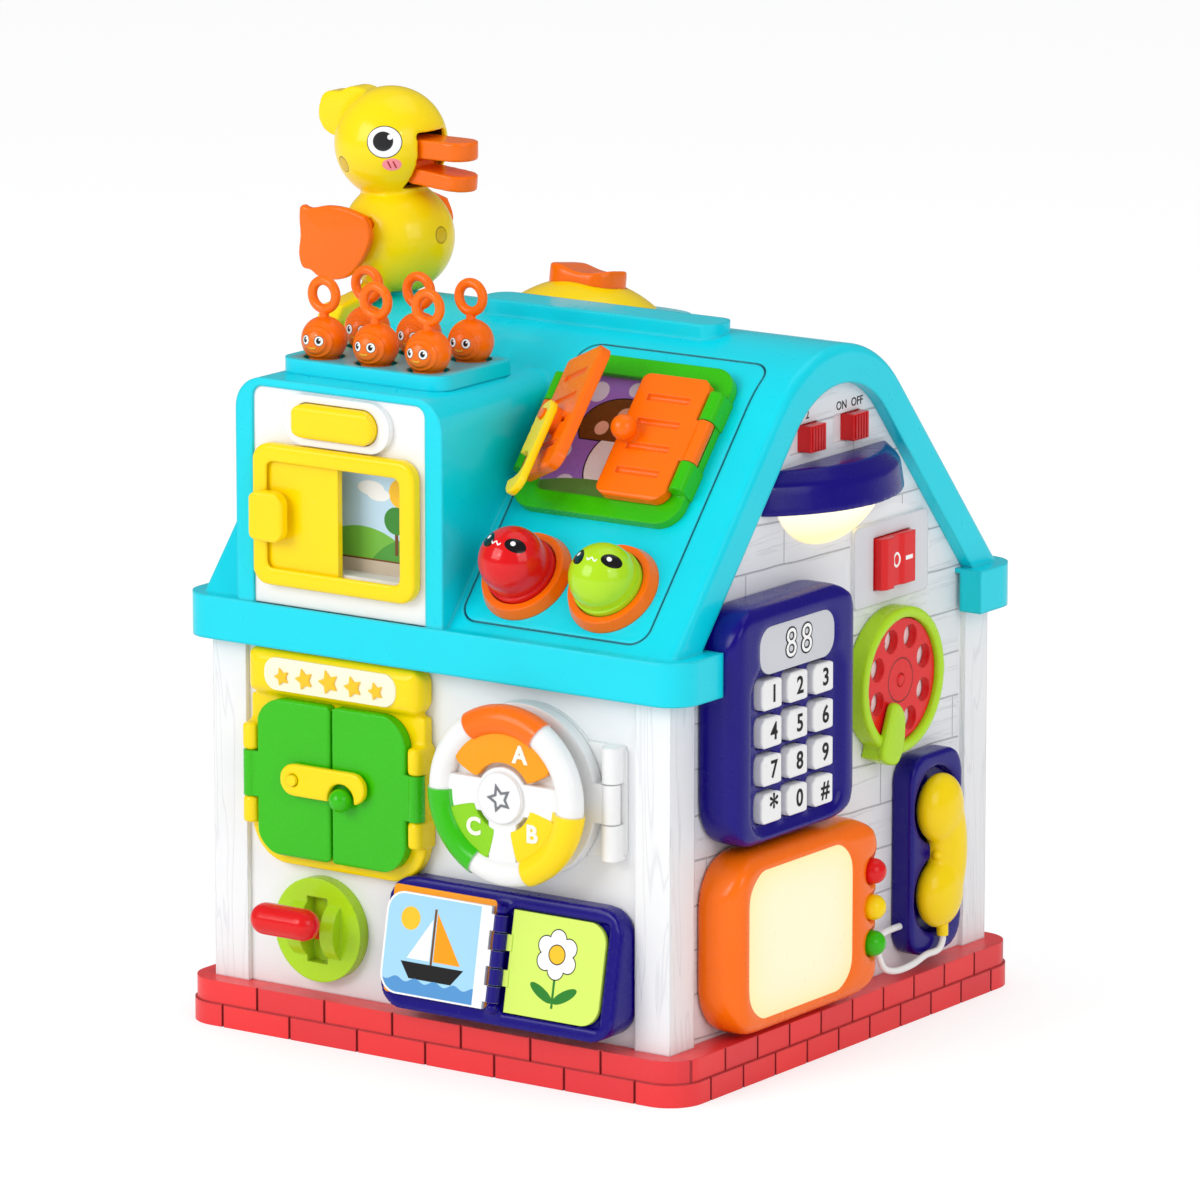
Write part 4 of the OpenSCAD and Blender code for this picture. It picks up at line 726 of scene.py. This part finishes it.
def selectEdges(piece, test):
    edit(piece, "DESELECT")
    bpy.ops.mesh.select_mode(type="EDGE")
    bpy.ops.object.mode_set(mode="OBJECT")
    spots = [v.co for v in piece.data.vertices]
    for e in piece.data.edges:
        e.select = bool(test(spots[e.vertices[0]], spots[e.vertices[1]]))
    bpy.ops.object.mode_set(mode="EDIT")


def roundEdges(piece, width, segments=3, angle=35):
    bevel = piece.modifiers.new("rounded", "BEVEL")
    bevel.width, bevel.segments = width * mm, segments
    bevel.limit_method, bevel.angle_limit = "ANGLE", math.radians(angle)
    deselect()
    piece.select_set(True)
    bpy.context.view_layer.objects.active = piece
    bpy.ops.object.modifier_apply(modifier=bevel.name)


def seat(piece, name, plane, at, body, material, turn=0):
    origin, tilt = planes[plane]
    base = Matrix.Translation(Vector(origin) * mm) @ Euler([math.radians(t) for t in tilt]).to_matrix().to_4x4()
    piece.matrix_world = base @ Matrix.Translation(Vector(at) * mm) @ Matrix.Rotation(math.radians(turn), 4, "Z")
    deselect()
    piece.select_set(True)
    bpy.context.view_layer.objects.active = piece
    bpy.ops.object.transform_apply(location=True, rotation=True, scale=True)
    bpy.ops.object.shade_smooth_by_angle(angle=math.radians(35))
    piece.name = name
    piece.data.materials.clear()
    piece.data.materials.append(material)
    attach(piece, body)
    return piece


# plate with round corners and a rounded upper edge; steps raise a crown, each (inset, rise)
def tile(wide, high, corner, thick, edge, steps=()):
    deselect()
    bpy.ops.mesh.primitive_plane_add(size=mm)
    piece = bpy.context.object
    piece.scale = (wide, high, 1)
    bpy.ops.object.transform_apply(location=False, rotation=False, scale=True)
    edit(piece)
    bpy.ops.mesh.bevel(offset=corner * mm, segments=8, affect="VERTICES")
    bpy.ops.mesh.extrude_region_move(TRANSFORM_OT_translate={"value": (0, 0, thick * mm)})
    for inset, rise in steps:
        bpy.ops.mesh.inset(thickness=inset * mm)
        bpy.ops.transform.translate(value=(0, 0, rise * mm))
    bpy.ops.object.mode_set(mode="OBJECT")
    outward(piece)
    if edge:
        roundEdges(piece, edge, 2, 50)
    return piece


# part of a ring from angle to angle, with round corners
def sector(inner, outer, start, sweep, thick, corner, edge):
    deselect()
    bpy.ops.mesh.primitive_plane_add(size=mm, rotation=(math.pi / 2, 0, 0))
    piece = bpy.context.object
    piece.scale = (outer - inner, thick, 1)
    piece.location = ((inner + outer) / 2 * mm, 0, thick / 2 * mm)
    bpy.ops.object.transform_apply(location=True, rotation=True, scale=True)
    edit(piece)
    bpy.ops.mesh.spin(steps=24, angle=math.radians(sweep), center=(0, 0, 0), axis=(0, 0, 1))
    outward(piece)
    low = min(math.atan2(v.co.y, v.co.x) for v in piece.data.vertices)
    high = max(math.atan2(v.co.y, v.co.x) for v in piece.data.vertices)
    turn = math.radians(start) - low

    def atEnds(a, b):
        upright = (a - b).xy.length < 1e-7
        angle = math.atan2(a.y, a.x)
        return upright and min(angle - low, high - angle) < 1e-4
    selectEdges(piece, atEnds)
    bpy.ops.mesh.bevel(offset=corner * mm, segments=5, affect="EDGES")
    bpy.ops.object.mode_set(mode="OBJECT")
    roundEdges(piece, edge, 3, 50)
    piece.data.transform(Matrix.Rotation(turn, 4, "Z"))
    return piece


# five-pointed star, whole or as an outline
def star(radius, thick, outline=0.0):
    deselect()
    bpy.ops.mesh.primitive_circle_add(vertices=10, radius=radius * mm, fill_type="NGON")
    piece = bpy.context.object
    edit(piece, "DESELECT")
    bpy.ops.object.mode_set(mode="OBJECT")
    for v in piece.data.vertices:
        v.select = v.index % 2 == 1
    bpy.ops.object.mode_set(mode="EDIT")
    bpy.ops.transform.resize(value=(0.5, 0.5, 1))
    bpy.ops.mesh.select_all(action="SELECT")
    if outline:
        bpy.ops.mesh.inset(thickness=outline * mm)
        bpy.ops.mesh.delete(type="FACE")
        bpy.ops.mesh.select_all(action="SELECT")
    bpy.ops.mesh.extrude_region_move(TRANSFORM_OT_translate={"value": (0, 0, thick * mm)})
    bpy.ops.object.mode_set(mode="OBJECT")
    outward(piece)
    return piece


def letters(text, size, thick, bold=0.0, spread=1.0):
    deselect()
    bpy.ops.object.text_add()
    piece = bpy.context.object
    words = piece.data
    words.body, words.size = text, size * mm
    words.align_x, words.align_y = "CENTER", "CENTER"
    words.extrude, words.offset = thick / 2 * mm, bold * mm
    words.space_character = spread
    words.resolution_u = 4
    bpy.ops.object.convert(target="MESH")
    return bpy.context.object


inks = {}


def ink(name, tint, rough=0.5, edge=0.3):
    if name not in inks:
        inks[name] = plastic(name, tint, rough=rough, coat=0.05, edge=edge).close()
    return inks[name]


# telephone cord, from the handset's stub to the cradle's side
cord = {"width": 3.0, "steps": 4, "route": [
    (131.5, 70.5, 34), (131.5, 70.5, 31.5), (131.5, 67, 28), (131, 58, 27.5), (130.5, 48, 25.2), (129.5, 37, 24.6),
    (128.5, 29, 27), (127.5, 26, 32.5), (124, 29, 38), (123, 36, 40.5), (122.5, 44, 40.8), (122.5, 50, 40.8)]}


def smoothRoute(route, steps):
    p, n, made = [Vector(q) for q in route], len(route) - 1, []
    for i in range(n):
        a, b, c, d = p[max(i - 1, 0)], p[i], p[i + 1], p[min(i + 2, n)]
        for k in range(steps):
            t = k / steps
            made.append(0.5 * (2 * b + (c - a) * t + (2 * a - 5 * b + 4 * c - d) * t * t
                               + (3 * b - a - 3 * c + d) * t * t * t))
    return made + [p[n]]


def makeCord():
    points = [q * mm for q in smoothRoute(cord["route"], cord["steps"])]
    line = bpy.data.curves.new("cordLine", "CURVE")
    line.dimensions, line.bevel_depth, line.bevel_resolution = "3D", cord["width"] / 2 * mm, 4
    line.use_fill_caps = True
    spline = line.splines.new("POLY")
    spline.points.add(len(points) - 1)
    for spot, q in zip(spline.points, points):
        spot.co = (*q, 1)
    piece = bpy.data.objects.new("handsetCord", line)
    bpy.context.scene.collection.objects.link(piece)
    deselect()
    piece.select_set(True)
    bpy.context.view_layer.objects.active = piece
    bpy.ops.object.convert(target="MESH")
    piece = bpy.context.object
    bpy.ops.object.shade_smooth_by_angle(angle=math.radians(50))
    piece.data.materials.clear()
    piece.data.materials.append(plastic("cordRubber", tints["white"], rough=0.45, coat=0.05, edge=0).close())
    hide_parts("handset_cord")
    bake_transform(piece, "handset", "house", start=points[0], end=points[-1])
    length = sum((b - a).length for a, b in zip(points, points[1:]))
    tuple(points[0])


# moulded edges: a softened copy stands for each node; size of its cells in mm and rounds of smoothing
moulded = {"tv_housing": (1.2, 55), "keypad_housing": (1.0, 30), "lamp_shade": (0.9, 14), "dial_ring": (0.7, 16),
           "handset_cradle": (0.9, 14), "duck_body": (0.8, 14), "duck_beak_upper": (0.6, 16),
           "duck_beak_lower": (0.5, 14), "ridge_button": (0.6, 36), "book_frame": (0.9, 12), "lever_handle": (0.6, 4),
           "window_latch": (0.5, 14), "shutter_latch": (0.5, 14), "window_frame": (0.9, 10), "dormer_frame": (0.8, 10)}


def softenEdges():
    for node, (cell, rounds) in moulded.items():
        owner = frame["nodes"][node]
        words = node.split("_")
        piece = bpy.data.objects.new(words[0] + "".join(w.title() for w in words[1:]) + "Moulded", owner.data.copy())
        bpy.context.scene.collection.objects.link(piece)
        outward(piece)
        melt(piece, cell, rounds)
        bpy.ops.object.shade_smooth()
        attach(piece, body_of(owner)[0])
        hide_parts(node)


# handset: two lobes and a back, melted into one bean, then a stub for the cord and a peg
bean = {"lumps": (((-0.5, 19, 7.6), (14.6, 15.8, 8.4)), ((-0.5, -19, 7.6), (14.6, 15.8, 8.4)),
                  ((6, 0, 7.8), (9.6, 29, 8)), ((3, 0, 7), (9, 16, 7))), "cell": 0.8, "rounds": 30,
        "peg": ((-5, -1, 9), 2.3), "stub": ((0, -34, 9), 2.6, 8)}


def makeHandset():
    held = []
    for at, size in bean["lumps"]:
        deselect()
        bpy.ops.mesh.primitive_uv_sphere_add(segments=40, ring_count=24, radius=mm)
        lump = bpy.context.object
        lump.scale, lump.location = size, Vector(at) * mm
        bpy.ops.object.transform_apply(location=True, rotation=False, scale=True)
        held.append(lump)
    piece = joined(held)
    melt(piece, bean["cell"], bean["rounds"])
    at, radius = bean["peg"]
    bpy.ops.mesh.primitive_uv_sphere_add(segments=20, ring_count=12, radius=radius * mm, location=Vector(at) * mm)
    peg = bpy.context.object
    at, radius, depth = bean["stub"]
    bpy.ops.mesh.primitive_cylinder_add(vertices=28, radius=radius * mm, depth=depth * mm, location=Vector(at) * mm,
                                        rotation=(math.pi / 2, 0, 0))
    piece = joined([piece, peg, bpy.context.object])
    finish = plastic("handsetPlastic", tints["yellow"], rough=0.24, edge=0, wear=0)
    seat(piece, "handsetBean", "handset", (0, 0, 0), "handset", finish.close())
    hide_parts("handset")


# finger stop of the dial, a smooth thumb over the ring; outline from the dial's centre
stop = {"turn": -112, "from": 7.85, "thick": 3.9, "edge": 1.6, "outline": (
    (36.5, -6), (37.5, 0), (36, 6), (31, 8), (25, 7.8), (20, 6.4), (15, 4.2), (11.6, 0), (10.8, -4), (12, -7),
    (15, -7.8), (20, -7.8), (27, -7.9), (33, -7.8))}


# slab of a smooth closed outline, all edges rounded
def slab(outline, thick, edge):
    points = smoothRoute([(u, v, 0) for u, v in outline + outline[:1]], 3)[:-1]
    deselect()
    bpy.ops.mesh.primitive_circle_add(vertices=len(points), radius=mm, fill_type="NGON")
    piece = bpy.context.object
    for v, q in zip(piece.data.vertices, points):
        v.co = q * mm
    edit(piece)
    bpy.ops.mesh.extrude_region_move(TRANSFORM_OT_translate={"value": (0, 0, thick * mm)})
    outward(piece)
    roundEdges(piece, edge, 4, 50)
    return piece


def makeStop():
    piece = slab(stop["outline"], stop["thick"], stop["edge"])
    finish = plastic("stopPlastic", tints["lime"], rough=0.28, edge=0, wear=0)
    seat(piece, "fingerStop", "dial", (0, 0, stop["from"]), "house", finish.close(), turn=stop["turn"])


# wings of the duck, a pair on one axle
wings = {"thick": 4, "edge": 1.7, "apart": 59, "axle": 3, "outline": (
    (4.5, 5.5), (-6, 8.2), (-16, 8.4), (-25, 6.5), (-30, 7.5), (-31, 2), (-30.5, -6), (-31.4, -14), (-29.5, -20),
    (-25, -21), (-20, -23.8), (-13, -24.2), (-6, -22.6), (-1, -19), (4.5, -12), (7.8, -3))}


def makeWings():
    near = slab(wings["outline"], wings["thick"], wings["edge"])
    far = slab(wings["outline"], wings["thick"], wings["edge"])
    far.location = (0, 0, -wings["apart"] * mm)
    deselect()
    bpy.ops.mesh.primitive_cylinder_add(vertices=24, radius=wings["axle"] * mm, depth=(wings["apart"] - 2) * mm,
                                        location=(0, 0, (2 - wings["apart"] / 2) * mm))
    piece = joined([near, far, bpy.context.object])
    finish = plastic("wingPlastic", tints["orange"], rough=0.26, edge=0, wear=0)
    seat(piece, "duckWings", "wing", (0, 0, 0), "duck_wings", finish.close())
    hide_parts("duck_wings")


# television screen with a painted glow, brighter in the middle, and the keypad's display
screens = {"tv": {"size": (80.5, 64.5), "corner": 13.3, "at": (-7, 0, 20), "fade": (40, 32), "glow": 0.45},
           "pad": {"size": (56.5, 20.5), "corner": 8.2, "at": (0, 32, 18.5)}}


def makeScreens():
    facts = screens["tv"]
    made = plastic("screenGlow", rgb(204, 194, 150), rough=0.3, coat=0.1, edge=0.8)
    p = made.on("tv")
    fadeU, fadeV = facts["fade"]
    # painted glow: the screen emits light, whiter in the middle and yellower towards its edges
    far = ((p[0] - facts["at"][0]) / fadeU) ** 4 + (p[1] / fadeV) ** 4
    glow = made.mix(far.math("MULTIPLY", 0.9, clamp=True), rgb(255, 252, 236), rgb(255, 238, 168))
    made.plug(made.shader.inputs["Emission Color"], glow)
    made.shader.inputs["Emission Strength"].default_value = facts["glow"]
    piece = tile(*facts["size"], facts["corner"], 0.5, 0, ((1.5, 0.4), (3, 0.3), (5, 0.25)))
    seat(piece, "tvScreen", "tv", facts["at"], "house", made.close())
    facts = screens["pad"]
    piece = tile(*facts["size"], facts["corner"], 0.9, 0.35)
    u, v, w = facts["at"]
    seat(piece, "displayPlate", "pad", facts["at"], "house", ink("displayGrey", tints["grey"], 0.3))
    for name, bold, lift, tint in (("displayDigitsEdge", 0.6, 0.9, "black"), ("displayDigits", -0.1, 1.0, "paper")):
        piece = letters("88", 18, 0.16, bold, 1.3)
        seat(piece, name, "pad", (u + 1, v, w + lift + 0.05), "house", ink(tint + "Ink", tints[tint]))


# digits on the keys, marks under the dial's holes and beside the switches
marks = {"keys": ("123", "456", "789", "*0#"), "pitchX": 19.6, "pitchY": 16.3, "keyTop": 20.0,
         "dialRadius": 19.6, "dialTop": 3.12, "switchZ": 268, "switchY": (-16, 17)}


def makeMarks():
    black = ink("blackInk", tints["black"])
    for r, row in enumerate(marks["keys"]):
        for c, sign in enumerate(row):
            piece = letters(sign, 14.5 if sign == "*" else 10.5, 0.14, 0.22)
            at = ((c - 1) * marks["pitchX"] + 1.2, -11.5 + (1.5 - r) * marks["pitchY"], marks["keyTop"] + 0.05)
            seat(piece, "keySign%d%d" % (r + 1, c + 1), "pad", at, "key_row_%d" % (r + 1), black)
    for k in range(8):
        a = math.radians((k + 0.5) * 45)
        piece = letters(str((k * 7 + 3) % 8 + 1), 6.5, 0.14, 0.12)
        seat(piece, "dialMark%d" % (k + 1), "dial",
             (marks["dialRadius"] * math.cos(a), marks["dialRadius"] * math.sin(a), marks["dialTop"] + 0.06),
             "house", black)
    for name, sign, y in (("switchMarkOne", "1  2", -20), ("switchMarkOff", "OFF", 21), ("switchMarkOn", "ON", 9)):
        piece = letters(sign, 5.2, 0.12, 0.06)
        seat(piece, name, "gable", (y, marks["switchZ"] + 9.6, 0.05), "house", black)
    red = ink("ridgeRed", rgb(206, 40, 44), 0.35)
    for k, y in enumerate(marks["switchY"]):
        for n in range(5):
            piece = tile(1.3, 10.4, 0.3, 0.7, 0.25)
            seat(piece, "switchRidge%d%d" % (k + 1, n + 1), "gable", (y + (n - 2) * 2.1, marks["switchZ"], 5),
                 "slide_switch_%d" % (k + 1), red)


# pads and letters in the wheel, star on its hub
pads = {"A": {"inner": 15, "outer": 28.5, "start": 28, "sweep": 124, "tint": "amber", "letter": (64, 21.5)},
        "C": {"inner": 15, "outer": 28.5, "start": 195, "sweep": 60, "tint": "leaf", "letter": (225, 20.5)},
        "B": {"inner": 15, "outer": 28.5, "start": 285, "sweep": 60, "tint": "yellow", "letter": (318, 21)}}


def makePads():
    for sign, facts in pads.items():
        piece = sector(facts["inner"], facts["outer"], facts["start"], facts["sweep"], 4.2, 4.5, 1.5)
        finish = plastic("pad%sPlastic" % sign, tints[facts["tint"]], rough=0.26).close()
        seat(piece, "wheelPad" + sign, "wheel", (0, 0, -1), "steering_wheel", finish)
        angle, r = math.radians(facts["letter"][0]), facts["letter"][1]
        piece = letters(sign, 10.5, 0.7, 0.35)
        seat(piece, "wheelLetter" + sign, "wheel", (r * math.cos(angle), r * math.sin(angle), 3.4), "steering_wheel",
             ink("letterCream", rgb(255, 252, 232), 0.4))
    piece = star(6.5, 0.3, 1.0)
    seat(piece, "hubStar", "wheel", (0, 0, 5), "steering_wheel", ink("hubGrey", rgb(120, 122, 128)), turn=18)


# plaque with stars on the window's header, orange sheet under the left page
plaque = {"size": (70, 14.5), "corner": 6.5, "at": (-50.5, 161, 10.4),
          "stars": ((-25, 4.2), (-13, 5), (0, 5.6), (13, 5), (25, 4.2)), "sheet": (54, 46.5), "sheetAt": (-31, 1.3, 0)}


def makePlaque():
    u, v, w = plaque["at"]
    piece = tile(*plaque["size"], plaque["corner"], 1.4, 0.6)
    seat(piece, "headerPlaque", "front", plaque["at"], "house", ink("plaqueCream", tints["cream"], 0.35, 0.6))
    yellow = ink("plaqueYellow", tints["straw"], 0.28, 0.4)
    for k, (du, r) in enumerate(plaque["stars"]):
        piece = star(r, 1.0)
        roundEdges(piece, 0.35, 2, 30)
        seat(piece, "headerStar%d" % (k + 1), "front", (u + du, v - abs(du) * 0.03, w + 1.4), "house", yellow, turn=18)
    piece = tile(*plaque["sheet"], 2, 0.3, 0.1)
    seat(piece, "bookSheet", "book", plaque["sheetAt"], "house", ink("sheetOrange", tints["amber"], 0.5, 0.2))


# floor, world and lamps
light = {"sky": 0.7, "gloss": 0.2, "key": (39, (-1.2, -2.8, 1.6), 1.8), "fill": (15, (2.6, -1.0, 1.3), 1.6),
         "top": (7, (0.2, 0.6, 2.6), 1.8), "glintLeft": (4, (-0.6, -3.0, 1.6), 0.16),
         "glintRight": (3, (2.6, -1.6, 2.0), 0.16)}


def makeStage():
    bpy.ops.mesh.primitive_plane_add(size=40)
    floor = bpy.context.object
    floor.name = "floor"
    material = bpy.data.materials.new("floorPaper")
    material.use_nodes = True
    nodes, links = material.node_tree.nodes, material.node_tree.links
    shader = nodes["Principled BSDF"]
    shader.inputs["Base Color"].default_value = (0.92, 0.92, 0.93, 1)
    shader.inputs["Roughness"].default_value = 0.9
    shader.inputs["Specular IOR Level"].default_value = 0.1
    glow = nodes.new("ShaderNodeEmission")
    glow.inputs[1].default_value = 1.25
    seen = nodes.new("ShaderNodeLightPath")
    part = nodes.new("ShaderNodeMath")
    part.operation = "MULTIPLY"
    part.inputs[1].default_value = 0.5
    both = nodes.new("ShaderNodeMixShader")
    links.new(seen.outputs["Is Camera Ray"], part.inputs[0])
    links.new(part.outputs[0], both.inputs[0])
    links.new(shader.outputs[0], both.inputs[1])
    links.new(glow.outputs[0], both.inputs[2])
    links.new(both.outputs[0], nodes["Material Output"].inputs[0])
    floor.data.materials.append(material)
    world = bpy.data.worlds.new("studio")
    bpy.context.scene.world = world
    world.use_nodes = True
    nodes, links = world.node_tree.nodes, world.node_tree.links
    sky = nodes["Background"]
    sky.inputs[0].default_value = (1, 1, 1, 1)
    seen = nodes.new("ShaderNodeLightPath")
    strength = light["sky"]
    for ray, gain in (("Is Camera Ray", 1 - light["sky"]), ("Is Glossy Ray", light["gloss"] - light["sky"])):
        level = nodes.new("ShaderNodeMath")
        level.operation = "MULTIPLY_ADD"
        links.new(seen.outputs[ray], level.inputs[0])
        level.inputs[1].default_value = gain
        if isinstance(strength, float):
            level.inputs[2].default_value = strength
        else:
            links.new(strength, level.inputs[2])
        strength = level.outputs[0]
    links.new(strength, sky.inputs[1])
    for name in ("key", "fill", "top", "glintLeft", "glintRight"):
        power, spot, size = light[name]
        bpy.ops.object.light_add(type="AREA", location=spot)
        lamp = bpy.context.object
        lamp.data.energy, lamp.data.size = power, size
        lamp.rotation_euler = (Vector((0, 0, 0.2)) - Vector(spot)).to_track_quat("-Z", "Y").to_euler()
    bpy.context.scene.view_settings.view_transform = "Standard"


makeCamera()
makeStage()
makeCord()
print("camera, stage and cord made")
dressPlain()
dressRoof()
dressPlinth()
dressWalls()
dressDormer()
print("shell dressed")
dressFish()
dressDuck()
dressDomes()
dressShutters()
dressWindow()
dressWheel()
dressPages()
dressGable()
print("units dressed")
softenEdges()
makeHandset()
makeStop()
makeWings()
makeScreens()
makeMarks()
makePads()
makePlaque()
